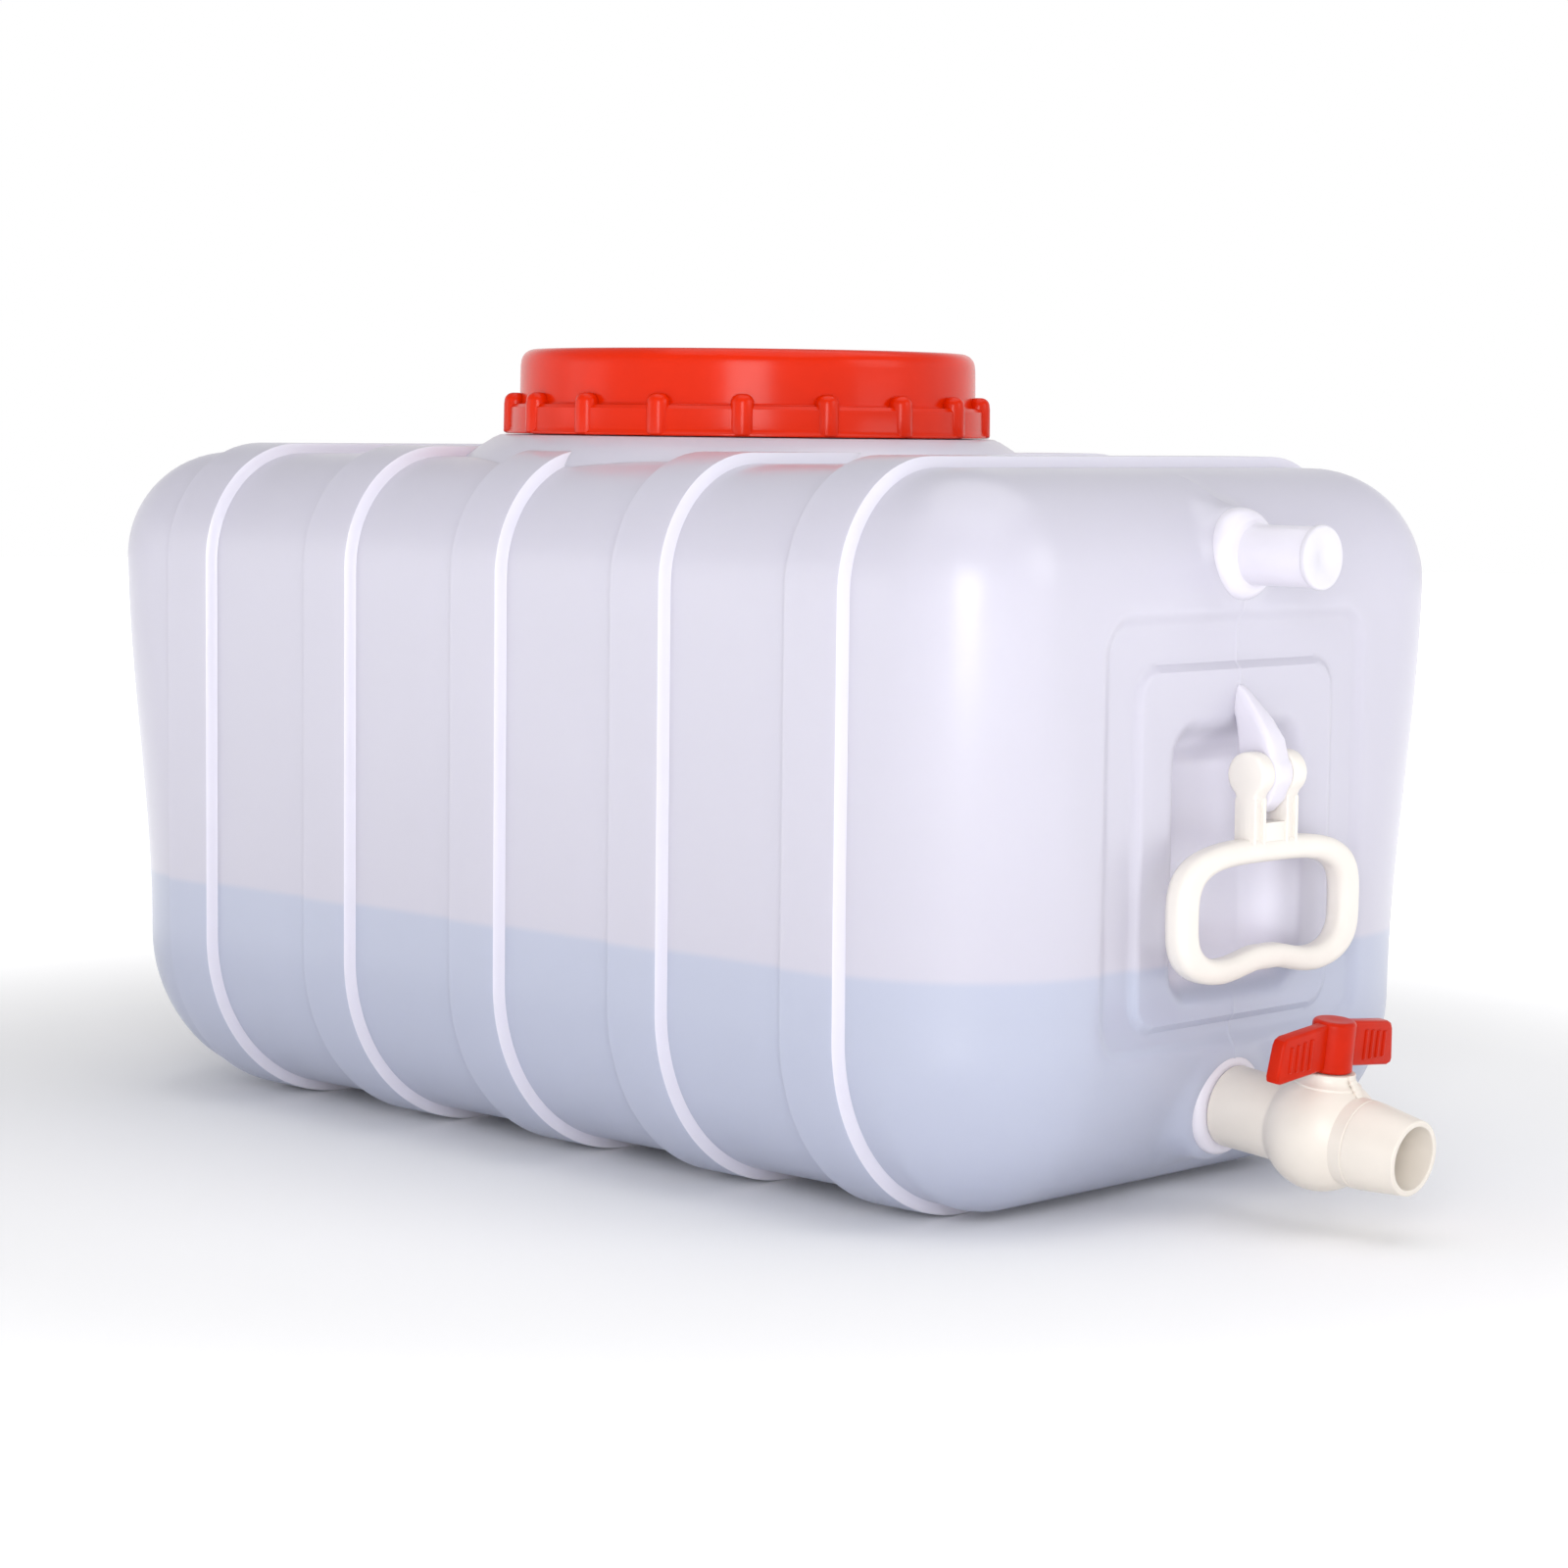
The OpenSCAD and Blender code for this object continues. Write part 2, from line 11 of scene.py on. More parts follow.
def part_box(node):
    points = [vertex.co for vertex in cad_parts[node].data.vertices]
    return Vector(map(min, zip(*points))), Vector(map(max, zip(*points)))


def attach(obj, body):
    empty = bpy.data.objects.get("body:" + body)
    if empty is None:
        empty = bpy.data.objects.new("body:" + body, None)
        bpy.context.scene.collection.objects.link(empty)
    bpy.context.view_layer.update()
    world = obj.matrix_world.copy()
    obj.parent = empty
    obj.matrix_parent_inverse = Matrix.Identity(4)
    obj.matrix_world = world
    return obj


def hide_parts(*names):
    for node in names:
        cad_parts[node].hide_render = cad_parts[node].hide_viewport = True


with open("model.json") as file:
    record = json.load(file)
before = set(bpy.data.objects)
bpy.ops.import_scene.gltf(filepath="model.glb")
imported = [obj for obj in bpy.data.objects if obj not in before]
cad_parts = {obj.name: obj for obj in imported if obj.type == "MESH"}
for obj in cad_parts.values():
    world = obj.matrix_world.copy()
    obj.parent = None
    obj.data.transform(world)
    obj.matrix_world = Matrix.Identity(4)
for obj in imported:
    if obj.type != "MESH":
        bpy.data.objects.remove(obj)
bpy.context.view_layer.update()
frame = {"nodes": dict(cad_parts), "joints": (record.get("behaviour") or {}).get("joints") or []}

bl_info = {
    "name": "Fresh Water Tank",
    "version": (1, 0, 0),
    "blender": (4, 5, 0),
    "location": "3D View > Sidebar > Water Tank",
    "description": "Builds a blow-moulded water tank with its lid, handles and drain valve",
    "category": "Object",
}

MM = 0.001
JOINTS = {joint["name"]: joint for joint in frame["joints"]}

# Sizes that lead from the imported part's boxes and joints to the places below
PIVOT_OUT = 19 * MM
NECK_H = 50 * MM
CAP_T = 4 * MM
GLOBE_OUT = 60 * MM

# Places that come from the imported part
HALF_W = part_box("tank_shell")[1].y
NECK_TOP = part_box("tank_shell")[1].z
PIVOT = Vector(JOINTS["front_handle_swing"]["pos_m"])
END_X = PIVOT.x - PIVOT_OUT
BODY_H = NECK_TOP - NECK_H
VENT_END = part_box("vent_cap")[1].x - CAP_T
VENT_Z = (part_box("vent_cap")[0].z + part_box("vent_cap")[1].z) / 2
STEM_AXIS = Vector(JOINTS["valve_turn"]["axis"]).normalized()
GLOBE = Vector(JOINTS["valve_turn"]["pos_m"])
FLOW_AXIS = Vector((STEM_AXIS.z, 0, -STEM_AXIS.x))
OUTLET = GLOBE - FLOW_AXIS * GLOBE_OUT

# Sizes of the tank's mouldings, its lid and its valve
RIB_STEP = 128 * MM
RIB_W = 40 * MM
RIB_RISE = 6 * MM
SHOULDER_R = 64 * MM
FOOT_R = 99 * MM
WALL = 4 * MM
MOUTH_R = 119 * MM
NECK_R = 124 * MM
THREAD_H = 3.6 * MM
THREAD_LEAD = 24 * MM
LID_IN = 131 * MM
BAND_R = 141.5 * MM
LID_FOOT = BODY_H + 8 * MM
LID_TOP = NECK_TOP + 7 * MM
THREAD_BASE = NECK_TOP - 25 * MM
LAST_RIB = 2 * RIB_STEP
MOAT_W, MOAT_LOW, MOAT_HIGH = 110 * MM, 92 * MM, 318 * MM
PAD_W, PAD_LOW, PAD_HIGH = 84 * MM, 104 * MM, 292 * MM
POCKET_W, POCKET_LOW, POCKET_HIGH = 55 * MM, 116 * MM, 262 * MM
STUD_DEPTH = 45 * MM
BOSS_RISE = 3.5 * MM
STUB_HOLE = 12 * MM
WATERWAY = 11.5 * MM
VALVE_SPLIT = 88 * MM
VALVE_END = 118 * MM


# ---------------------------------------------------------------- settings
class TankSizes(bpy.types.PropertyGroup):
    water_level: FloatProperty(
        name="Water level", description="Height of the water seen through the wall",
        default=0.137, min=0.0, max=0.39, unit="LENGTH", subtype="DISTANCE")
    rib_edge: FloatProperty(
        name="Rib edge", description="Width of the slope at each side of a hoop rib",
        default=0.004, min=0.002, max=0.012, unit="LENGTH", subtype="DISTANCE")
    pocket_depth: FloatProperty(
        name="Pocket depth", description="Depth of the finger pocket behind each handle",
        default=0.023, min=0.005, max=0.024, unit="LENGTH", subtype="DISTANCE")
    lug_count: IntProperty(
        name="Lid lugs", description="Number of grip lugs round the lid", default=18, min=6, max=36)
    flute_count: IntProperty(
        name="Wing flutes", description="Grip flutes on each face of a valve wing", default=4, min=0, max=6)


def hex_colour(text):
    """An sRGB hex colour as linear red, green and blue."""
    parts = [int(text[i:i + 2], 16) / 255 for i in (1, 3, 5)]
    return [c / 12.92 if c <= 0.04045 else ((c + 0.055) / 1.055) ** 2.4 for c in parts]


def colour_property(name, description, value):
    return FloatVectorProperty(name=name, description=description, subtype="COLOR", size=3,
                               default=hex_colour(value), min=0.0, max=1.0)


class TankColours(bpy.types.PropertyGroup):
    wall: colour_property("Wall", "Empty part of the translucent wall", "#bfbdca")
    # Lighter tone painted on as painted light in the finger pockets and as a painted highlight on the rib
    # slopes
    pocket: colour_property("Pockets", "Wall of the finger pockets, lit from its sides", "#d6d4e1")
    water: colour_property("Wall over water", "Wall with water behind it", "#b0b5c8")
    thick: colour_property("Thick mouldings", "Whiter colour of the thick fins and stub", "#dad7e2")
    lid: colour_property("Lid", "Screw lid", "#cf2400")
    lever: colour_property("Valve lever", "Butterfly lever of the valve", "#bd2003")
    valve: colour_property("Valve", "Valve body and end piece", "#e0d9d0")
    grip: colour_property("Handles", "Carry handles", "#e3ded8")
    cap: colour_property("Vent cap", "Plug in the vent stub", "#d2d0d9")


# ---------------------------------------------------------------- materials
def node(tree, kind, settings=None, links=None):
    """Adds a shader node, sets its fields and inputs, and links the inputs that are given sockets."""
    made = tree.nodes.new(kind)
    for key, value in (settings or {}).items():
        if isinstance(key, str) and hasattr(made, key):
            setattr(made, key, value)
        else:
            made.inputs[key].default_value = value
    for key, socket in (links or {}).items():
        tree.links.new(socket, made.inputs[key])
    return made


def new_material(name, **shader_values):
    """A material with its tree, its shader and an object coordinate through a Mapping node."""
    material = bpy.data.materials.new(name)
    material.use_nodes = True
    tree = material.node_tree
    shader = tree.nodes["Principled BSDF"]
    for key, value in shader_values.items():
        shader.inputs[key.replace("_", " ")].default_value = value
    coords = node(tree, "ShaderNodeTexCoord")
    mapping = node(tree, "ShaderNodeMapping", links={"Vector": coords.outputs["Object"]})
    return material, tree, shader, mapping.outputs["Vector"]


def shaded(colour, factor):
    """A colour made darker or lighter, with its alpha."""
    return (*[min(1.0, c * factor) for c in colour], 1.0)


def mottle(tree, vector, colour, grain, depth):
    """Two close tones of one colour in soft patches of about the given size in metres."""
    noise = node(tree, "ShaderNodeTexNoise", {"Scale": 1 / grain, "Detail": 3.0}, {"Vector": vector})
    ramp = node(tree, "ShaderNodeValToRGB", links={"Fac": noise.outputs["Fac"]})
    ramp.color_ramp.elements[0].position = 0.3
    ramp.color_ramp.elements[1].position = 0.7
    ramp.color_ramp.elements[0].color = shaded(colour, 1 - depth)
    ramp.color_ramp.elements[1].color = shaded(colour, 1 + depth)
    return ramp.outputs["Color"]


def grain_bump(tree, shader, vector, grain, height, strength):
    """Fine unevenness of a moulded face: grain is its size and height its depth, in metres."""
    noise = node(tree, "ShaderNodeTexNoise", {"Scale": 1 / grain, "Detail": 2.0}, {"Vector": vector})
    bump = node(tree, "ShaderNodeBump", {"Strength": strength, "Distance": height},
                {"Height": noise.outputs["Fac"]})
    tree.links.new(bump.outputs["Normal"], shader.inputs["Normal"])


def roughness_range(tree, shader, vector, grain, low, high):
    """Soft patches of duller and glossier surface, of about the given size in metres."""
    noise = node(tree, "ShaderNodeTexNoise", {"Scale": 1 / grain, "Detail": 4.0}, {"Vector": vector})
    spread = node(tree, "ShaderNodeMapRange", {"To Min": low, "To Max": high},
                  {"Value": noise.outputs["Fac"]})
    tree.links.new(spread.outputs["Result"], shader.inputs["Roughness"])


def colour_mix(tree, factor, first, second):
    """The first colour where the factor is 0 and the second where it is 1."""
    blend = node(tree, "ShaderNodeMix", {"data_type": "RGBA"}, {"Factor": factor})
    tree.links.new(first, blend.inputs[6])
    tree.links.new(second, blend.inputs[7])
    return blend.outputs[2]


def fade(tree, socket, full, gone):
    """1 where the value has reached full and 0 where it has reached gone, with a soft step between."""
    step = node(tree, "ShaderNodeMapRange",
                {"interpolation_type": "SMOOTHSTEP", "From Min": gone, "From Max": full}, {"Value": socket})
    return step.outputs["Result"]


def calculated(tree, operation, *sockets):
    """One step of arithmetic on sockets."""
    made = node(tree, "ShaderNodeMath", {"operation": operation}, dict(enumerate(sockets)))
    return made.outputs["Value"]


def pocket_painted_light_mask(tree, parts):
    """1 inside the finger pockets, where a lighter tone is laid on as painted light."""
    along = calculated(tree, "ABSOLUTE", parts.outputs["X"])
    across = calculated(tree, "ABSOLUTE", parts.outputs["Y"])
    inside = calculated(tree, "MULTIPLY", fade(tree, along, END_X - 14 * MM, END_X - 3 * MM),
                        fade(tree, across, POCKET_W + 1 * MM, POCKET_W + 7 * MM))
    heights = calculated(tree, "MULTIPLY",
                         fade(tree, parts.outputs["Z"], POCKET_LOW - 4 * MM, POCKET_LOW - 10 * MM),
                         fade(tree, parts.outputs["Z"], POCKET_HIGH + 2 * MM, POCKET_HIGH + 8 * MM))
    return calculated(tree, "MULTIPLY", inside, heights)


def rib_flank_highlight_mask(tree, parts):
    """1 on the slopes of the hoop ribs, where a lighter tone is laid on as a painted highlight."""
    coords = node(tree, "ShaderNodeTexCoord")
    facing = node(tree, "ShaderNodeSeparateXYZ", links={"Vector": coords.outputs["Normal"]})
    turned = fade(tree, calculated(tree, "ABSOLUTE", facing.outputs["X"]), 0.8, 0.3)
    along = calculated(tree, "ABSOLUTE", parts.outputs["X"])
    last_edge = LAST_RIB + RIB_W / 2
    return calculated(tree, "MULTIPLY", turned, fade(tree, along, last_edge + 1 * MM, last_edge + 4 * MM))


def moulded(title, colour, tone, gloss, bump, **shader_values):
    """A moulded or cut finish. Tone is (size of its patches, depth), gloss is (size of its patches,
    lowest roughness, highest roughness) and bump is (grain, height, strength)."""
    material, tree, shader, vector = new_material(title, **shader_values)
    tree.links.new(mottle(tree, vector, colour, *tone), shader.inputs["Base Color"])
    roughness_range(tree, shader, vector, *gloss)
    grain_bump(tree, shader, vector, *bump)
    return material


def natural_polyethylene():
    """Blow-moulded natural polyethylene: milky wall with a waxy sheen, bluish and darker where
    water stands behind it, and a soft line where the water ends. A lighter tone is laid on as
    painted light in the finger pockets and as a painted highlight on the rib slopes."""
    colours = bpy.context.scene.tank_colours
    sizes = bpy.context.scene.tank_sizes
    material, tree, shader, vector = new_material(
        "Natural polyethylene", IOR=1.51, Subsurface_Weight=0.25,
        Subsurface_Radius=(12 * MM, 12 * MM, 14 * MM), Subsurface_Scale=1.0)
    parts = node(tree, "ShaderNodeSeparateXYZ", links={"Vector": vector})
    surface = 2.5 * MM
    above = fade(tree, parts.outputs["Z"], sizes.water_level + surface, sizes.water_level - surface)
    dry = mottle(tree, vector, colours.wall, 180 * MM, 0.012)
    wet = mottle(tree, vector, colours.water, 140 * MM, 0.02)
    # Painted light in the finger pockets and a painted highlight on the rib slopes, both in the pocket tone
    lit = mottle(tree, vector, colours.pocket, 90 * MM, 0.012)
    painted_flank_highlight = mottle(tree, vector, colours.pocket, 60 * MM, 0.01)
    wall = colour_mix(tree, above, wet, dry)
    # Painted highlight on the rib slopes, picked out by the way the surface faces along the tank
    ribbed = colour_mix(tree, rib_flank_highlight_mask(tree, parts), wall, painted_flank_highlight)
    whole = colour_mix(tree, pocket_painted_light_mask(tree, parts), ribbed, lit)
    tree.links.new(whole, shader.inputs["Base Color"])
    roughness_range(tree, shader, vector, 60 * MM, 0.26, 0.33)
    grain_bump(tree, shader, vector, 9 * MM, 0.10 * MM, 0.6)
    return material


def thick_polyethylene():
    """Thick mouldings of the same polyethylene: whiter than the wall, because they pass less light."""
    return moulded("Thick natural polyethylene", bpy.context.scene.tank_colours.thick,
                   (20 * MM, 0.012), (15 * MM, 0.3, 0.4), (4 * MM, 0.06 * MM, 0.5), IOR=1.51,
                   Subsurface_Weight=0.3, Subsurface_Radius=(6 * MM, 6 * MM, 6 * MM), Subsurface_Scale=1.0)


def lid_polypropylene():
    """Injection moulded polypropylene in orange red: satin gloss with faint flow marks."""
    return moulded("Lid polypropylene", bpy.context.scene.tank_colours.lid, (30 * MM, 0.04),
                   (25 * MM, 0.17, 0.26), (4 * MM, 0.05 * MM, 0.5), IOR=1.49, Specular_IOR_Level=0.2)


def lever_polypropylene():
    """Pigmented polypropylene of the valve lever: an even, low gloss."""
    return moulded("Lever polypropylene", bpy.context.scene.tank_colours.lever, (12 * MM, 0.05),
                   (12 * MM, 0.25, 0.36), (2 * MM, 0.04 * MM, 0.5), IOR=1.49, Specular_IOR_Level=0.12)


def valve_plastic():
    """Cream moulded plastic of the valve: smooth, soft gloss and slightly warm."""
    return moulded("Cream valve plastic", bpy.context.scene.tank_colours.valve, (22 * MM, 0.02),
                   (15 * MM, 0.32, 0.42), (3 * MM, 0.04 * MM, 0.5), IOR=1.52)


def grip_polypropylene():
    """Off-white polypropylene of the carry handles: smooth with a low gloss."""
    return moulded("Grip polypropylene", bpy.context.scene.tank_colours.grip, (25 * MM, 0.02),
                   (20 * MM, 0.34, 0.45), (3 * MM, 0.05 * MM, 0.5), IOR=1.49)


def cap_polyethylene():
    """White polyethylene of the vent plug: matt wax with a faint bloom."""
    return moulded("Vent cap polyethylene", bpy.context.scene.tank_colours.cap, (10 * MM, 0.02),
                   (10 * MM, 0.38, 0.48), (2 * MM, 0.05 * MM, 0.5), IOR=1.51)


def gasket_foam():
    """Closed-cell foam of the lid's gasket: dull, off-white, with fine pores."""
    return moulded("Closed-cell foam", hex_colour("#efece4"), (6 * MM, 0.04), (6 * MM, 0.75, 0.9),
                   (1.5 * MM, 0.15 * MM, 0.6), IOR=1.45)


def seal_rubber():
    """Nitrile rubber of the O-rings and the flat gasket: near black with a dull, slightly oily shine."""
    return moulded("Nitrile rubber", hex_colour("#262628"), (5 * MM, 0.1), (5 * MM, 0.5, 0.65),
                   (1.25 * MM, 0.03 * MM, 0.6), IOR=1.52)


def seat_fluoropolymer():
    """Skived fluoropolymer of the ball's seats: waxy and very white."""
    return moulded("Fluoropolymer", hex_colour("#f7f7f5"), (8 * MM, 0.01), (8 * MM, 0.3, 0.4),
                   (2 * MM, 0.02 * MM, 0.6), IOR=1.36)


def polished_acetal():
    """Acetal of the ball and stem: hard ivory plastic, polished by the seats."""
    return moulded("Polished acetal", hex_colour("#ebe7dc"), (12 * MM, 0.02), (12 * MM, 0.15, 0.25),
                   (3 * MM, 0.01 * MM, 0.6), IOR=1.48)


# ---------------------------------------------------------------- mesh helpers
def finish(bm, name, material, body, replaced):
    """Closes the mesh, makes it a piece at the origin, shades it and puts it on its body."""
    sharp_angle = math.radians(35)
    bmesh.ops.remove_doubles(bm, verts=bm.verts, dist=1e-6)
    bmesh.ops.recalc_face_normals(bm, faces=bm.faces)
    mesh = bpy.data.meshes.new(name)
    bm.to_mesh(mesh)
    bm.free()
    piece = bpy.data.objects.new(name, mesh)
    bpy.context.scene.collection.objects.link(piece)
    mesh.materials.append(material)
    mesh.shade_smooth()
    mesh.set_sharp_from_angle(angle=sharp_angle)
    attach(piece, body)
    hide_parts(*replaced)
    return piece


def joined_to(start):
    """Every vertex that edges join to the given ones, in the same order at each run."""
    found = list(start)
    known = set(start)
    for vert in found:
        for edge in vert.link_edges:
            other = edge.other_vert(vert)
            if other not in known:
                known.add(other)
                found.append(other)
    return found


def turn_profile(bm, profile, place=Matrix.Identity(4), steps=96):
    """Spins a closed profile of (radius, height) points round Z, then puts the ring in its place."""
    verts = [bm.verts.new((r, 0, z)) for r, z in profile]
    edges = [bm.edges.new((verts[i], verts[(i + 1) % len(verts)])) for i in range(len(verts))]
    bmesh.ops.spin(bm, geom=verts + edges, cent=(0, 0, 0), axis=(0, 0, 1),
                   angle=math.tau, steps=steps, use_merge=True)
    ring = joined_to(verts)
    bmesh.ops.remove_doubles(bm, verts=ring, dist=1e-7)
    bmesh.ops.transform(bm, matrix=place, verts=[v for v in ring if v.is_valid])


def arc(cx, cz, radius, start, end, steps):
    """Points on an arc in the profile plane, with angles in degrees."""
    return [(cx + radius * math.cos(math.radians(start + (end - start) * i / steps)),
             cz + radius * math.sin(math.radians(start + (end - start) * i / steps)))
            for i in range(steps + 1)]


def axis_place(origin, direction, side):
    """A frame whose Z runs along direction and whose X is as near to side as it can be."""
    z = direction.normalized()
    x = (side - z * side.dot(z)).normalized()
    y = z.cross(x)
    place = Matrix((x, y, z)).transposed().to_4x4()
    place.translation = origin
    return place


def standing(side, place):
    """A frame for a plate that stands along the tank, with its thickness across it."""
    turned = Matrix(((1, 0, 0), (0, 0, side), (0, 1, 0))).to_4x4()
    turned.translation = place
    return turned


def plate(bm, outline, thickness, place, bevel, segments=3):
    """Extrudes an outline of (x, y) points both ways along Z, rounds its edges and places it."""
    verts = [bm.verts.new((x, y, -thickness / 2)) for x, y in outline]
    face = bm.faces.new(verts)
    made = bmesh.ops.extrude_face_region(bm, geom=[face])
    top = [v for v in made["geom"] if isinstance(v, bmesh.types.BMVert)]
    bmesh.ops.translate(bm, verts=top, vec=(0, 0, thickness))
    rims = [e for e in dict.fromkeys(e for v in verts + top for e in v.link_edges)
            if abs(e.verts[0].co.z - e.verts[1].co.z) < 1e-9]
    rounded = bmesh.ops.bevel(bm, geom=rims, offset=bevel, offset_type="OFFSET", affect="EDGES",
                              segments=segments, profile=0.5, material=-1, clamp_overlap=True)
    bmesh.ops.transform(bm, matrix=place, verts=joined_to(rounded["verts"]))


def smooth(low, high, value):
    """0 up to low, 1 from high on, and a soft step between them."""
    t = np.clip((value - low) / (high - low), 0.0, 1.0)
    return t * t * (3 - 2 * t)


def rounded_rect(y, z, half_y, z_low, z_high, corner):
    """Signed distance from a rounded rectangle in the Y-Z plane, negative inside."""
    mid = (z_low + z_high) / 2
    qy = np.abs(y) - half_y + corner
    qz = np.abs(z - mid) - (z_high - z_low) / 2 + corner
    outside = np.hypot(np.maximum(qy, 0), np.maximum(qz, 0))
    return outside + np.minimum(np.maximum(qy, qz), 0) - corner


def merged(a, b, blend):
    """Distance to two shapes together, with a fillet of about the given size where they meet."""
    share = np.clip(0.5 + 0.5 * (b - a) / blend, 0, 1)
    return b + (a - b) * share - blend * share * (1 - share)


def stud_distance(points, base, axis, radius, flare, edge):
    """Distance to a round stud that ends at base, points along axis and widens behind its face."""
    away = points - np.array(base)
    along = away @ np.array(axis)
    across = np.linalg.norm(away - along[:, None] * np.array(axis), axis=1)
    side = (across - radius + flare * np.minimum(along, 0)) / math.hypot(1, flare) + edge
    front = np.maximum(along, -STUD_DEPTH - along) + edge
    outside = np.hypot(np.maximum(side, 0), np.maximum(front, 0))
    return outside + np.minimum(np.maximum(side, front), 0) - edge


# ---------------------------------------------------------------- the tank's wall
def end_recess(x, y, z):
    """How deep the moat and the finger pocket draw in the end wall, less the rise of the seam."""
    moat_depth, seam_w, seam_rise = 3.4 * MM, 1.1 * MM, 0.45 * MM
    outer = rounded_rect(y, z, MOAT_W, MOAT_LOW, MOAT_HIGH, 18 * MM)
    pad = rounded_rect(y, z, PAD_W, PAD_LOW, PAD_HIGH, 16 * MM)
    pocket = rounded_rect(y, z, POCKET_W, POCKET_LOW, POCKET_HIGH, 18 * MM)
    moat = moat_depth * (1 - smooth(-5 * MM, 4 * MM, outer)) * smooth(-2.5 * MM, 2.5 * MM, pad)
    hollow = bpy.context.scene.tank_sizes.pocket_depth * (1 - smooth(-24 * MM, 4 * MM, pocket))
    seam = seam_rise * np.exp(-(y / seam_w) ** 2) * smooth(-1 * MM, 4 * MM, pocket)
    return (moat + hollow - seam) * smooth(END_X - 45 * MM, END_X - 35 * MM, x)


def wall_distance(points, skin):
    """How far points lie outside the tank's wall. Skin draws the wall that much further in."""
    x, y, z = np.abs(points[:, 0]), np.abs(points[:, 1]), points[:, 2]
    radius = FOOT_R + (SHOULDER_R - FOOT_R) * smooth(FOOT_R, BODY_H - SHOULDER_R, z)
    low = RIB_RISE * (1 - smooth(LAST_RIB + 22 * MM, LAST_RIB + 45 * MM, x))
    top = BODY_H - RIB_RISE
    qx = x - END_X + radius
    qy = y - HALF_W + RIB_RISE + radius
    qz = np.maximum(low + radius - z, z - top + radius)
    q = np.stack([qx, qy, qz])
    away = np.linalg.norm(np.maximum(q, 0), axis=0) + np.minimum(q.max(0), 0) - radius
    nearest = np.round(np.clip(points[:, 0] / RIB_STEP, -2, 2)) * RIB_STEP
    off = np.abs(points[:, 0] - nearest)
    slope = bpy.context.scene.tank_sizes.rib_edge / 2
    away = away - RIB_RISE * (1 - smooth(RIB_W / 2 - slope, RIB_W / 2 + slope, off))
    away = away + end_recess(x, y, z)
    boss = stud_distance(points, OUTLET - FLOW_AXIS * BOSS_RISE, FLOW_AXIS, 32 * MM, 0.1, 9 * MM)
    away = merged(away, boss, 12 * MM)
    vent = stud_distance(points, (END_X - 1.5 * MM, 0, VENT_Z), (1, 0, 0), 25 * MM, 0.12, 7 * MM)
    away = merged(away, vent, 10 * MM)
    return away + skin


def grid_lines(spans):
    """Positions along an axis from (start, end, step) spans that follow on from each other."""
    lines = []
    for start, end, step in spans:
        count = max(1, round((end - start) / step))
        lines.extend(start + (end - start) * i / count for i in range(count))
    lines.append(spans[-1][1])
    return np.array(lines)


def box_grid(bm, lines):
    """Six grids that close a box, with their lines at the given X, Y and Z positions."""
    for across, up, out in ((0, 1, 2), (1, 2, 0), (0, 2, 1)):
        for side in (0, -1):
            made = bmesh.ops.create_grid(bm, x_segments=len(lines[across]) - 1,
                                         y_segments=len(lines[up]) - 1, size=1.0)
            verts = made["verts"]
            uv = np.array([v.co[:2] for v in verts])
            place = np.zeros((len(verts), 3))
            for column, axis in ((0, across), (1, up)):
                known = np.linspace(-1, 1, len(lines[axis]))
                place[:, axis] = np.interp(uv[:, column], known, lines[axis])
            place[:, out] = lines[out][side]
            for vert, co in zip(verts, place):
                vert.co = co
    bmesh.ops.remove_doubles(bm, verts=bm.verts, dist=1e-6)
    bmesh.ops.recalc_face_normals(bm, faces=bm.faces)


def shrink_to_wall(bm, skin):
    """Moves each vertex of the box straight in towards the tank's core until it meets the wall."""
    start = np.array([v.co for v in bm.verts])
    core_r = FOOT_R + 6 * MM
    core_end = LAST_RIB + RIB_W / 2 + 8 * MM
    low = np.array([-core_end, -HALF_W + core_r, core_r])
    high = np.array([core_end, HALF_W - core_r, BODY_H - core_r])
    core = np.clip(start, low, high)
    ray = start - core
    reach, halvings = 1.3, 40
    near, far = np.zeros(len(start)), np.full(len(start), reach)
    for _ in range(halvings):
        mid = (near + far) / 2
        inside = wall_distance(core + ray * mid[:, None], skin) < 0
        near = np.where(inside, mid, near)
        far = np.where(inside, far, mid)
    for vert, co in zip(bm.verts, core + ray * near[:, None]):
        vert.co = co


def cut_mouth(bm, radius):
    """Opens a round hole in the top of the wall and draws its rim to the neck's inside."""
    gone = [f for f in bm.faces
            if f.calc_center_median().z > BODY_H / 2 and f.calc_center_median().xy.length < radius]
    bmesh.ops.delete(bm, geom=gone, context="FACES")
    for edge in bm.edges:
        if edge.is_boundary:
            for vert in edge.verts:
                flat = vert.co.xy.normalized() * radius
                vert.co.x, vert.co.y = flat.x, flat.y


def rib_lines(edge_steps, panel_step):
    """X positions that are close together on the slopes of the ribs and wide apart elsewhere."""
    slope = bpy.context.scene.tank_sizes.rib_edge / 2 + 0.6 * MM
    end_step = panel_step * 0.6
    spans = []
    at = -END_X
    for i in range(-2, 3):
        for side in (-1, 1):
            middle = i * RIB_STEP + side * RIB_W / 2
            step = end_step if at == -END_X else panel_step
            spans.append((at, middle - slope, step))
            spans.append((middle - slope, middle + slope, 2 * slope / edge_steps))
            at = middle + slope
    spans.append((at, END_X, end_step))
    return grid_lines(spans)


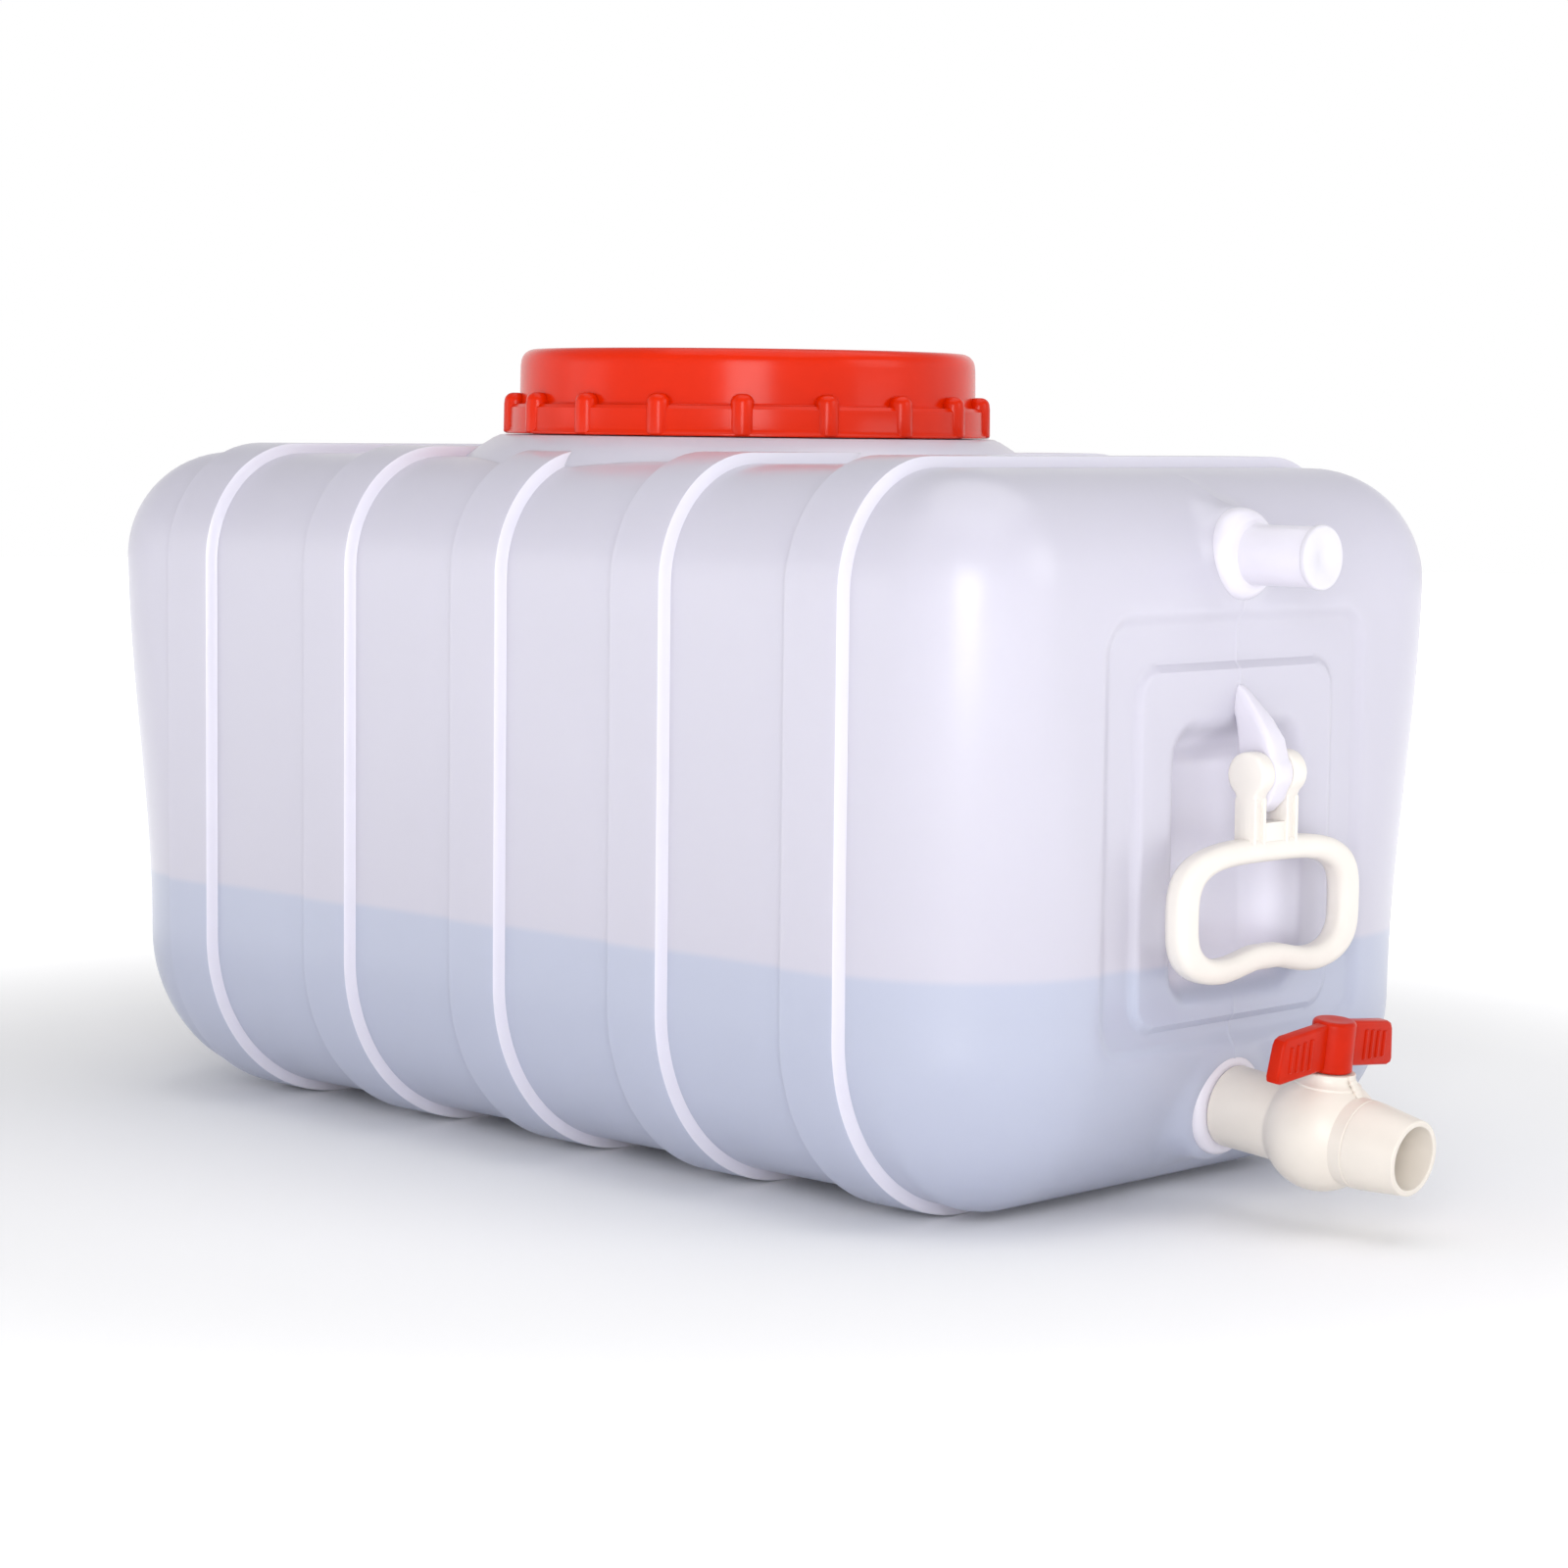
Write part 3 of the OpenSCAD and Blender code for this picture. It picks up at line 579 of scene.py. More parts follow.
def build_tank_wall():
    """The outside face of the wall, with finer faces round the recesses and the two fittings."""
    bm = bmesh.new()
    wide, seam, low, high = MOAT_W + 2 * MM, 1.6 * MM, MOAT_LOW - 4 * MM, MOAT_HIGH + 4 * MM
    fitting_w, boss_top, vent_low = 58 * MM, 110 * MM, 300 * MM
    side = [(-HALF_W, -wide, 7 * MM), (-wide, -seam, 6 * MM), (-seam, seam, 0.8 * MM),
            (seam, wide, 6 * MM), (wide, HALF_W, 7 * MM)]
    height = [(0, low, 6 * MM), (low, high, 6 * MM), (high, BODY_H, 6 * MM)]
    box_grid(bm, (rib_lines(6, 9 * MM), grid_lines(side), grid_lines(height)))
    detail = []
    for face in bm.faces:
        x, y, z = face.calc_center_median()
        at_end = abs(x) > END_X - 1 * MM
        recessed = abs(y) < wide + 4 * MM and low - 2 * MM < z < high + 2 * MM
        fitted = x > 0 and abs(y) < fitting_w and (z < boss_top or z > vent_low)
        if at_end and (recessed or fitted):
            detail.append(face)
    edges = list(dict.fromkeys(e for f in detail for e in f.edges))
    bmesh.ops.subdivide_edges(bm, edges=edges, cuts=2, use_grid_fill=True)
    shrink_to_wall(bm, 0)
    cut_mouth(bm, MOUTH_R)
    return bm


def build_tank_lining():
    """The inside face of the wall, seen through the neck when the lid is off."""
    bm = bmesh.new()
    side = [(-HALF_W, HALF_W, 12 * MM)]
    height = [(0, BODY_H, 12 * MM)]
    box_grid(bm, (rib_lines(3, 14 * MM), grid_lines(side), grid_lines(height)))
    shrink_to_wall(bm, WALL)
    cut_mouth(bm, MOUTH_R)
    return bm


def thread_face(bm, turn, root, crest, height):
    """The section of a thread, from its root to its narrower crest, where the ridge starts."""
    section = [(root, -2.6 * MM), (crest, -1.3 * MM), (crest, 1.3 * MM), (root, 2.6 * MM)]
    turned = Matrix.Rotation(turn, 4, "Z")
    return bm.faces.new([bm.verts.new(turned @ Vector((r, 0, height + z))) for r, z in section])


def build_neck():
    """Neck with its collar, rim and two-start thread."""
    collar = BAND_R + 3 * MM
    profile = [(MOUTH_R, BODY_H - 12 * MM), (MOUTH_R + 2 * MM, BODY_H - 26 * MM),
               (collar + 25 * MM, BODY_H - 26 * MM), (collar + 24 * MM, BODY_H - 9 * MM),
               (collar + 19 * MM, BODY_H - 4 * MM), (collar + 12 * MM, BODY_H + 1 * MM),
               (collar + 5 * MM, BODY_H + 5.4 * MM)]
    profile += arc(collar, BODY_H + 4.4 * MM, 3 * MM, 60, 90, 3)
    profile += [(NECK_R + 3 * MM, BODY_H + 7.4 * MM), (NECK_R + 0.8 * MM, BODY_H + 8.2 * MM),
                (NECK_R, BODY_H + 10 * MM)]
    profile += arc(NECK_R - 1.5 * MM, NECK_TOP - 1.5 * MM, 1.5 * MM, 0, 90, 4)
    profile += arc(MOUTH_R + 1 * MM, NECK_TOP - 1 * MM, 1 * MM, 90, 180, 4)
    bm = bmesh.new()
    turn_profile(bm, profile, steps=144)
    angle, steps = math.radians(250), 60
    for start in (0, math.pi):
        face = thread_face(bm, start, NECK_R - 0.8 * MM, NECK_R + THREAD_H, THREAD_BASE)
        bmesh.ops.spin(bm, geom=[face], cent=(0, 0, 0), axis=(0, 0, 1), angle=angle, steps=steps,
                       dvec=(0, 0, THREAD_LEAD * angle / math.tau / steps))
    return bm


def build_hanging_lug(mirror):
    """Moulded fin that carries the handle: a flame shape that swells round the pivot."""
    x, z = PIVOT.x - END_X, PIVOT.z
    root = -4 * MM
    outline = [(root, z + 47 * MM), (1.5 * MM, z + 45 * MM), (6 * MM, z + 41 * MM), (12 * MM, z + 35 * MM),
               (18.5 * MM, z + 28 * MM), (25.5 * MM, z + 18 * MM)]
    outline += arc(x, z, 12.2 * MM, 40, -36, 8)
    outline += [(26 * MM, z - 14 * MM), (20 * MM, z - 20 * MM), (14 * MM, z - 22 * MM),
                (9 * MM, z - 20 * MM), (6 * MM, z - 14 * MM), (5 * MM, z - 4 * MM), (4.6 * MM, z + 6 * MM),
                (3.4 * MM, z + 18 * MM), (0.8 * MM, z + 28 * MM), (root, z + 36 * MM)]
    bm = bmesh.new()
    plate(bm, outline, 16 * MM, standing(-1, (END_X, 0, 0)), 5.4 * MM, 6)
    for vert in bm.verts:
        narrow = float(smooth(z + 18 * MM, z + 47 * MM, vert.co.z))
        vert.co.y *= 1 - 0.6 * narrow
    if mirror:
        bmesh.ops.scale(bm, vec=(-1, 1, 1), verts=bm.verts)
    return bm


def vent_place(x):
    """A frame on the axis of the vent, with Z out of the tank."""
    return axis_place(Vector((x, 0, VENT_Z)), Vector((1, 0, 0)), Vector((0, 0, 1)))


def build_vent_stub():
    """Open tube that rises from a dome, high on the valve end."""
    length, foot, tube_r, dome_w, dome_h = VENT_END - END_X, 10 * MM, 16 * MM, 8 * MM, 9.5 * MM
    profile = [(STUB_HOLE, -foot), (tube_r + 0.6 * MM + dome_w, -foot)]
    profile += [(tube_r + 0.6 * MM + dome_w * math.cos(turn), -2.5 * MM + dome_h * math.sin(turn))
                for turn in (math.radians(9 * i) for i in range(10))]
    profile += [(tube_r + 0.2 * MM, 8.4 * MM), (tube_r, 10.5 * MM), (tube_r, 20 * MM)]
    profile += arc(tube_r - 0.8 * MM, length - 0.8 * MM, 0.8 * MM, 0, 90, 3)
    profile += [(STUB_HOLE, length)]
    bm = bmesh.new()
    turn_profile(bm, profile, vent_place(END_X))
    return bm


def build_outlet_nozzle():
    """Raised ring on the boss low on the end, with the barbed nozzle that the valve sits on."""
    barb, foot, ring_r, ring_w, ring_h = 16.2 * MM, 30 * MM, 28 * MM, 5.5 * MM, 5.2 * MM
    profile = [(WATERWAY, -foot), (ring_r, -foot)]
    profile += [(ring_r - ring_w * (1 - math.cos(turn)), -5 * MM + ring_h * math.sin(turn))
                for turn in (math.radians(10 * i) for i in range(10))]
    profile += [(barb, 0.2 * MM)]
    for i in range(5):
        rise = 2.4 * MM * i
        profile += [(barb, 3 * MM + rise), (barb + 0.4 * MM, 3.7 * MM + rise), (barb, 4.4 * MM + rise)]
    profile += [(barb, 15 * MM), (barb - 1 * MM, 16 * MM), (WATERWAY, 16 * MM)]
    bm = bmesh.new()
    turn_profile(bm, profile, valve_place())
    return bm


# ---------------------------------------------------------------- lid and vent cap
def build_lid(lug_count):
    """Screw lid: grip band with lugs, stepped drum, rounded shoulder and a shallow dished top."""
    band_top = LID_FOOT + 17 * MM
    drum = LID_IN + 3 * MM
    profile = [(BAND_R - 3 * MM, LID_FOOT)]
    profile += arc(BAND_R + 0.2 * MM, LID_FOOT + 0.9 * MM, 0.9 * MM, -90, 60, 4)
    profile += [(BAND_R, LID_FOOT + 2.6 * MM), (BAND_R - 0.5 * MM, LID_FOOT + 4 * MM),
                (BAND_R - 0.8 * MM, band_top - 1.9 * MM), (BAND_R - 2.6 * MM, band_top)]
    profile += arc(drum + 1.6 * MM, band_top + 1.6 * MM, 1.6 * MM, -90, -180, 4)
    profile += [(drum - 0.3 * MM, LID_TOP - 10 * MM)]
    profile += arc(drum - 8.6 * MM, LID_TOP - 8 * MM, 8 * MM, 8, 90, 9)
    profile += [(114 * MM, LID_TOP), (112.4 * MM, LID_TOP - 0.4 * MM), (110 * MM, LID_TOP - 1.7 * MM),
                (108 * MM, LID_TOP - 2 * MM), (40 * MM, LID_TOP - 2 * MM), (38.5 * MM, LID_TOP - 1.2 * MM),
                (36.5 * MM, LID_TOP - 1.2 * MM), (35 * MM, LID_TOP - 2 * MM), (0, LID_TOP - 2 * MM)]
    under = LID_TOP - 3 * MM
    profile += [(0, under - 2 * MM), (111 * MM, under - 2 * MM), (114 * MM, under),
                (LID_IN - 3 * MM, under), (LID_IN, under - 3 * MM), (LID_IN, band_top - 3 * MM),
                (BAND_R - 3 * MM, band_top - 3 * MM)]
    bm = bmesh.new()
    turn_profile(bm, profile, steps=180)
    bmesh.ops.dissolve_degenerate(bm, dist=1e-7, edges=bm.edges)
    lug = [(0, 0), (6.2 * MM, 0)]
    lug += arc(6 * MM, 1 * MM, 1 * MM, -60, 0, 2)
    lug += [(6.8 * MM, 16 * MM)]
    lug += arc(1.6 * MM, 18 * MM, 5 * MM, 0, 90, 6)
    lug += [(0, 23 * MM)]
    for i in range(lug_count):
        turned = Matrix.Rotation((i + 0.65) * math.tau / lug_count, 4, "Z")
        turn_profile(bm, lug, turned @ Matrix.Translation((BAND_R - 4.4 * MM, 0, LID_FOOT + 0.6 * MM)), 24)
    tooth_step, tooth_angle, under_neck = math.radians(44), math.radians(22), 5.1 * MM
    for start in (0, math.pi):
        for i in range(5):
            rise = THREAD_LEAD * (i * tooth_step + tooth_angle / 2) / math.tau
            face = thread_face(bm, start + i * tooth_step, LID_IN + 0.8 * MM, NECK_R + 1 * MM,
                               THREAD_BASE - under_neck + rise)
            bmesh.ops.spin(bm, geom=[face], cent=(0, 0, 0), axis=(0, 0, 1), angle=tooth_angle, steps=6)
    return bm


def build_vent_cap():
    """Push-in plug with a thin round head."""
    profile = [(0, -14 * MM), (10.6 * MM, -14 * MM), (11.8 * MM, -11 * MM), (11.8 * MM, 0.0),
               (16.6 * MM, 0.0)]
    profile += arc(16.2 * MM, 0.8 * MM, 0.8 * MM, -60, 0, 3)
    profile += arc(15.4 * MM, 2.4 * MM, 1.6 * MM, 0, 90, 5)
    profile += [(6 * MM, 4 * MM), (5.4 * MM, 3.6 * MM), (0, 3.6 * MM)]
    bm = bmesh.new()
    turn_profile(bm, profile, vent_place(VENT_END))
    return bm


# ---------------------------------------------------------------- carry handle
def grip_point(turn, outside):
    """A point on the rounded loop of the grip, seen from the end, measured from the pivot."""
    half_w, half_h, dip = 79 * MM, 38.6 * MM, 8 * MM
    a = half_w if outside else half_w - 17 * MM
    b = half_h if outside else half_h - 13 * MM
    power = 0.62 if outside else 0.55
    c, s = math.cos(turn), math.sin(turn)
    y = a * math.copysign(abs(c) ** power, c)
    flat = b * math.copysign(abs(s) ** power, s)
    rise = dip * math.exp(-(y / (30 * MM)) ** 2) * (-flat / b) if flat < 0 else 0.0
    return y, -72 * MM + flat + rise


def build_handle(mirror):
    """Bail handle: a wavy rounded grip under two ribbed ears that straddle the fin."""
    bm = bmesh.new()
    count, grip_t, ear_out, ear_r, peg_r = 96, 14 * MM, 14 * MM, 12 * MM, 5.45 * MM
    loops = []
    for outside in (True, False):
        ring = bmesh.ops.create_circle(bm, cap_ends=False, segments=count, radius=1)["verts"]
        for i, vert in enumerate(ring):
            y, z = grip_point(math.tau * (i + 0.5) / count, outside)
            vert.co = (-grip_t / 2, y, z)
        loops.append([e for e in bm.edges if e.verts[0] in ring and e.verts[1] in ring])
    faces = bmesh.ops.bridge_loops(bm, edges=loops[0] + loops[1])["faces"]
    made = bmesh.ops.extrude_face_region(bm, geom=faces)["geom"]
    moved = [v for v in made if isinstance(v, bmesh.types.BMVert)]
    bmesh.ops.translate(bm, verts=moved, vec=(grip_t, 0, 0))
    rims = [e for e in bm.edges if len(e.link_faces) == 2
            and e.calc_face_angle(0) > math.radians(50)]
    bmesh.ops.bevel(bm, geom=rims, offset=5.2 * MM, offset_type="OFFSET", affect="EDGES",
                    segments=5, profile=0.5, material=-1, clamp_overlap=True)
    web = [(-4.6 * MM, -43 * MM), (4.6 * MM, -43 * MM), (4.6 * MM, -16 * MM)]
    web += arc(0, 0, ear_r, -52, 232, 22)
    web += [(-4.6 * MM, -16 * MM)]
    bar = [(-6.7 * MM, -42 * MM), (6.7 * MM, -42 * MM), (6.7 * MM, -13 * MM), (3 * MM, -7 * MM),
           (-3 * MM, -7 * MM), (-6.7 * MM, -13 * MM)]
    peg = [(0, 0), (peg_r - 0.25 * MM, 0), (peg_r, 0.4 * MM), (peg_r, 7 * MM), (0, 7 * MM)]
    for side in (-1, 1):
        out = side * ear_out
        plate(bm, web, 11 * MM, standing(side, (0, out, 0)), 1.8 * MM, 3)
        for rib in (-3.9 * MM, 3.9 * MM):
            plate(bm, bar, 2.9 * MM, standing(side, (0, out + rib, 0)), 0.8 * MM, 2)
        peg_place = axis_place(Vector((0, side * 2.5 * MM, 0)), Vector((0, side, 0)), Vector((1, 0, 0)))
        turn_profile(bm, peg, peg_place, 48)
    bridge = [(-5.6 * MM, -40 * MM), (5.6 * MM, -40 * MM), (5.6 * MM, -25.5 * MM), (-5.6 * MM, -25.5 * MM)]
    plate(bm, bridge, 19 * MM, standing(-1, (0, 0, 0)), 1.5 * MM, 3)
    bmesh.ops.translate(bm, verts=bm.verts, vec=PIVOT)
    if mirror:
        bmesh.ops.scale(bm, vec=(-1, 1, 1), verts=bm.verts)
    return bm


# ---------------------------------------------------------------- valve
def valve_place():
    """A frame on the valve's axis, with Z out of the tank and X towards the lever."""
    return axis_place(OUTLET, FLOW_AXIS, STEM_AXIS)


def build_valve_body():
    """Inlet socket, round housing and stem tower with a short row of teeth, moulded in one."""
    globe_r, inlet, neck, chamber, socket = 31 * MM, 22 * MM, 23.5 * MM, 20 * MM, 16.8 * MM
    first = math.degrees(math.acos(inlet / globe_r))
    last = math.degrees(math.acos(neck / globe_r))
    profile = [(socket, 0.6 * MM)]
    profile += arc(inlet - 1.2 * MM, 1.8 * MM, 1.2 * MM, -90, 0, 3)
    profile += [(inlet - 0.4 * MM, GLOBE_OUT - 24 * MM)]
    profile += arc(0, GLOBE_OUT, globe_r, -first, last, 22)
    profile += [(neck, VALVE_SPLIT - 0.6 * MM), (neck - 0.6 * MM, VALVE_SPLIT), (chamber, VALVE_SPLIT),
                (chamber, 41 * MM), (WATERWAY, 41 * MM), (WATERWAY, 18.5 * MM), (socket, 18.5 * MM)]
    bm = bmesh.new()
    turn_profile(bm, profile, valve_place())
    stem_hole = 8.05 * MM
    tower = [(stem_hole, 22 * MM), (18 * MM, 22 * MM), (17.5 * MM, 26.6 * MM)]
    tower += arc(19.2 * MM, 31.6 * MM, 5.2 * MM, -130, -178, 6)
    tower += arc(13.2 * MM, 32.2 * MM, 0.8 * MM, 0, 90, 3)
    tower += [(stem_hole, 33 * MM)]
    turn_profile(bm, tower, axis_place(GLOBE, STEM_AXIS, FLOW_AXIS), 72)
    tooth = [(0, 0), (3.2 * MM, 1 * MM), (1.4 * MM, -2.4 * MM), (0, -2.4 * MM)]
    for i in range(4):
        along, up = (13 + 1.6 * i) * MM, (31 - 2.2 * i) * MM
        spot = axis_place(GLOBE + FLOW_AXIS * along + STEM_AXIS * up, Vector((0, 1, 0)), FLOW_AXIS)
        plate(bm, tooth, 5 * MM, spot, 0.4 * MM, 2)
    return bm


def build_valve_end():
    """Turned end piece with the open pipe socket."""
    split, plug, groove, socket = VALVE_SPLIT, 19.8 * MM, 18.2 * MM, 16.75 * MM
    profile = [(WATERWAY, split - 9 * MM), (plug, split - 9 * MM), (plug, split - 5.4 * MM),
               (groove, split - 5.4 * MM), (groove, split - 3.4 * MM), (plug, split - 3.4 * MM),
               (plug, split), (22.9 * MM, split), (23.4 * MM, split + 0.6 * MM),
               (23.2 * MM, split + 4 * MM)]
    profile += arc(socket + 2.3 * MM, VALVE_END - 1 * MM, 1 * MM, 0, 90, 4)
    profile += arc(socket + 0.7 * MM, VALVE_END - 0.7 * MM, 0.7 * MM, 90, 180, 3)
    profile += [(socket, VALVE_END - 24 * MM), (WATERWAY, VALVE_END - 28 * MM)]
    bm = bmesh.new()
    turn_profile(bm, profile, valve_place())
    return bm


def build_lever(flute_count):
    """Butterfly lever: round hub with a dished top and two drooping, fluted wings."""
    base, height, tip, thick = 33.5 * MM, 27 * MM, 51 * MM, 8 * MM
    place = axis_place(GLOBE + STEM_AXIS * base, STEM_AXIS, FLOW_AXIS)
    hub = [(0, 12.5 * MM), (4.5 * MM, 12.5 * MM), (4.5 * MM, 0.6 * MM), (8.2 * MM, 0.6 * MM),
           (8.2 * MM, 0.0), (11.2 * MM, 0.0), (11.8 * MM, 0.8 * MM), (11.6 * MM, 4 * MM)]
    hub += arc(9.1 * MM, height - 2.4 * MM, 2.4 * MM, 0, 90, 5)
    hub += [(4 * MM, height - 0.6 * MM), (0, height - 0.8 * MM)]
    bm = bmesh.new()
    turn_profile(bm, hub, place, 64)
    wing = [(5 * MM, 1.2 * MM), (15.5 * MM, 1 * MM), (tip - 4 * MM, -2 * MM), (tip - 0.8 * MM, -1 * MM),
            (tip, 1.5 * MM), (tip - 2.5 * MM, height - 9 * MM), (tip - 4 * MM, height - 6 * MM),
            (tip - 7 * MM, height - 4.6 * MM), (12 * MM, height - 1.4 * MM), (5 * MM, height - 1 * MM)]
    for side in (-1, 1):
        # The wing's outline runs out to one side of the stem and up along it
        turn = Matrix(((0, 0, side, 0), (side, 0, 0, 0), (0, 1, 0, 0), (0, 0, 0, 1)))
        plate(bm, wing, thick, place @ turn, 1.6 * MM, 3)
        for i in range(flute_count):
            for face in (-1, 1):
                along = tip - 10 * MM - 5.6 * MM * i
                bar = [(along - 1.1 * MM, 3.5 * MM), (along + 1.1 * MM, 3.5 * MM),
                       (along + 1.1 * MM, height - 9.5 * MM + 0.8 * MM * i),
                       (along - 1.1 * MM, height - 9.5 * MM + 0.8 * MM * i)]
                lift = Matrix.Translation((0, 0, face * thick / 2))
                plate(bm, bar, 1.8 * MM, place @ turn @ lift, 0.7 * MM, 2)
    return bm


# ---------------------------------------------------------------- operators
class BuildShell(bpy.types.Operator):
    """Build the moulded wall with its lining, neck, fins, vent stub and outlet nozzle"""
    bl_idname = "tank.build_shell"
    bl_label = "Tank Shell"

    def execute(self, context):
        thin, thick = natural_polyethylene(), thick_polyethylene()
        shell = ("tank_shell",)
        parts = {"tank_wall": build_tank_wall(), "tank_lining": build_tank_lining(),
                 "tank_neck": build_neck(), "hanging_lug_front": build_hanging_lug(False),
                 "hanging_lug_rear": build_hanging_lug(True), "vent_stub": build_vent_stub(),
                 "outlet_nozzle": build_outlet_nozzle()}
        for name, bm in parts.items():
            material = thin if name.startswith("tank") else thick
            piece = finish(bm, name, material, "tank", shell)
            if name == "tank_lining":
                piece.data.flip_normals()
        return {"FINISHED"}


class BuildLid(bpy.types.Operator):
    """Build the screw lid with its grip lugs and thread"""
    bl_idname = "tank.build_lid"
    bl_label = "Screw Lid"

    def execute(self, context):
        cover = build_lid(context.scene.tank_sizes.lug_count)
        finish(cover, "screw_lid_cover", lid_polypropylene(), "screw_lid", ("lid",))
        return {"FINISHED"}


class BuildVentCap(bpy.types.Operator):
    """Build the plug that closes the vent stub"""
    bl_idname = "tank.build_vent_cap"
    bl_label = "Vent Cap"

    def execute(self, context):
        finish(build_vent_cap(), "vent_cap_plug", cap_polyethylene(), "vent_plug",
               ("vent_cap",))
        return {"FINISHED"}


class BuildHandles(bpy.types.Operator):
    """Build the carry handle at each end"""
    bl_idname = "tank.build_handles"
    bl_label = "Carry Handles"

    def execute(self, context):
        material = grip_polypropylene()
        finish(build_handle(False), "carry_handle_front", material, "front_handle",
               ("handle_front",))
        finish(build_handle(True), "carry_handle_rear", material, "rear_handle",
               ("handle_rear",))
        return {"FINISHED"}


class BuildValve(bpy.types.Operator):
    """Build the outside of the drain valve and its lever"""
    bl_idname = "tank.build_valve"
    bl_label = "Drain Valve"

    def execute(self, context):
        cream = valve_plastic()
        finish(build_valve_body(), "valve_housing", cream, "tank", ("valve_body",))
        finish(build_valve_end(), "valve_end_socket", cream, "tank", ("valve_end_piece",))
        lever = build_lever(context.scene.tank_sizes.flute_count)
        finish(lever, "valve_lever", lever_polypropylene(), "valve_core", ("valve_handle",))
        return {"FINISHED"}


class FinishInnerParts(bpy.types.Operator):
    """Give the seals, seats, ball and stem their materials"""
    bl_idname = "tank.finish_inner_parts"
    bl_label = "Inner Parts"

    def execute(self, context):
        foam, rubber, seat, acetal = gasket_foam(), seal_rubber(), seat_fluoropolymer(), polished_acetal()
        finishes = {"lid_gasket": foam, "inlet_gasket": rubber, "valve_end_o_ring": rubber,
                    "stem_o_rings": rubber, "valve_seat_inlet": seat, "valve_seat_outlet": seat,
                    "valve_ball": acetal, "valve_stem": acetal}
        for name, material in finishes.items():
            slots = frame["nodes"][name].material_slots
            for index in range(len(slots)):
                slots[index].material = material
        return {"FINISHED"}


class BuildStage(bpy.types.Operator):
    """Set the floor, the soft lights and the camera"""
    bl_idname = "tank.build_stage"
    bl_label = "Stage"

    def execute(self, context):
        build_floor()
        build_lights()
        build_camera()
        return {"FINISHED"}


def build_floor():
    """Round sheet of white paper that meets the backdrop without a line."""
    radius, lit_from, lit_full = 9.0, 0.5, 1.5
    bm = bmesh.new()
    bmesh.ops.create_circle(bm, cap_ends=True, segments=96, radius=radius)
    mesh = bpy.data.meshes.new("studio_floor")
    bm.to_mesh(mesh)
    bm.free()
    floor = bpy.data.objects.new("studio_floor", mesh)
    bpy.context.scene.collection.objects.link(floor)
    # Matt white paper: even, with no shine
    paper, tree, shader, vector = new_material("White paper", IOR=1.3)
    grain = 400 * MM
    tree.links.new(mottle(tree, vector, hex_colour("#fbfbfc"), grain, 0.004), shader.inputs["Base Color"])
    roughness_range(tree, shader, vector, grain, 0.9, 0.95)
    # Away from the tank the paper glows as brightly as the backdrop
    distance = node(tree, "ShaderNodeVectorMath", {"operation": "LENGTH"}, {0: vector})
    shader.inputs["Emission Color"].default_value = (1.0, 1.0, 1.0, 1.0)
    glow = fade(tree, distance.outputs["Value"], lit_full, lit_from)
    tree.links.new(glow, shader.inputs["Emission Strength"])
    mesh.materials.append(paper)


def soft_light(name, place, target, size, power, colour):
    """A rectangular softbox that faces its target."""
    data = bpy.data.lights.new(name, "AREA")
    data.shape = "RECTANGLE"
    data.size, data.size_y = size
    data.energy = power
    data.color = colour
    light = bpy.data.objects.new(name, data)
    light.location = place
    light.rotation_euler = (Vector(target) - Vector(place)).to_track_quat("-Z", "Y").to_euler()
    bpy.context.scene.collection.objects.link(light)


def build_lights():
    """Four softboxes, and studio walls that fill in their shadows."""
    middle = (0, 0, 0.2)
    soft_light("key_softbox", (1.62, -1.68, 0.6), (0.2, -0.2, 0.2), (0.8, 1.2), 21, (1.0, 0.99, 0.98))
    soft_light("left_fill", (-1.8, -2.0, 0.5), (-0.2, -0.2, 0.1), (1.2, 1.0), 4, (1.0, 0.99, 0.97))
    soft_light("end_softbox", (2.3, 0.9, 1.3), (0.36, 0, 0.25), (1.2, 1.0), 8, (1.0, 1.0, 1.0))
    soft_light("top_softbox", (0.2, 0.1, 2.2), middle, (2.4, 2.0), 17, (1.0, 1.0, 1.0))
    world = bpy.data.worlds.new("studio_world")
    bpy.context.scene.world = world
    world.use_nodes = True
    tree = world.node_tree
    # The studio walls are white at eye height and get darker towards the ceiling
    coords = node(tree, "ShaderNodeTexCoord")
    parts = node(tree, "ShaderNodeSeparateXYZ", links={"Vector": coords.outputs["Generated"]})
    shade = node(tree, "ShaderNodeMapRange",
                 {"interpolation_type": "SMOOTHSTEP", "From Min": 0.14, "From Max": 0.6,
                  "To Min": 1.0, "To Max": 0.45}, {"Value": parts.outputs["Z"]})
    background = tree.nodes["Background"]
    background.inputs["Color"].default_value = (1.0, 1.0, 1.0, 1.0)
    tree.links.new(shade.outputs["Result"], background.inputs["Strength"])
    bpy.context.scene.view_settings.view_transform = "Standard"


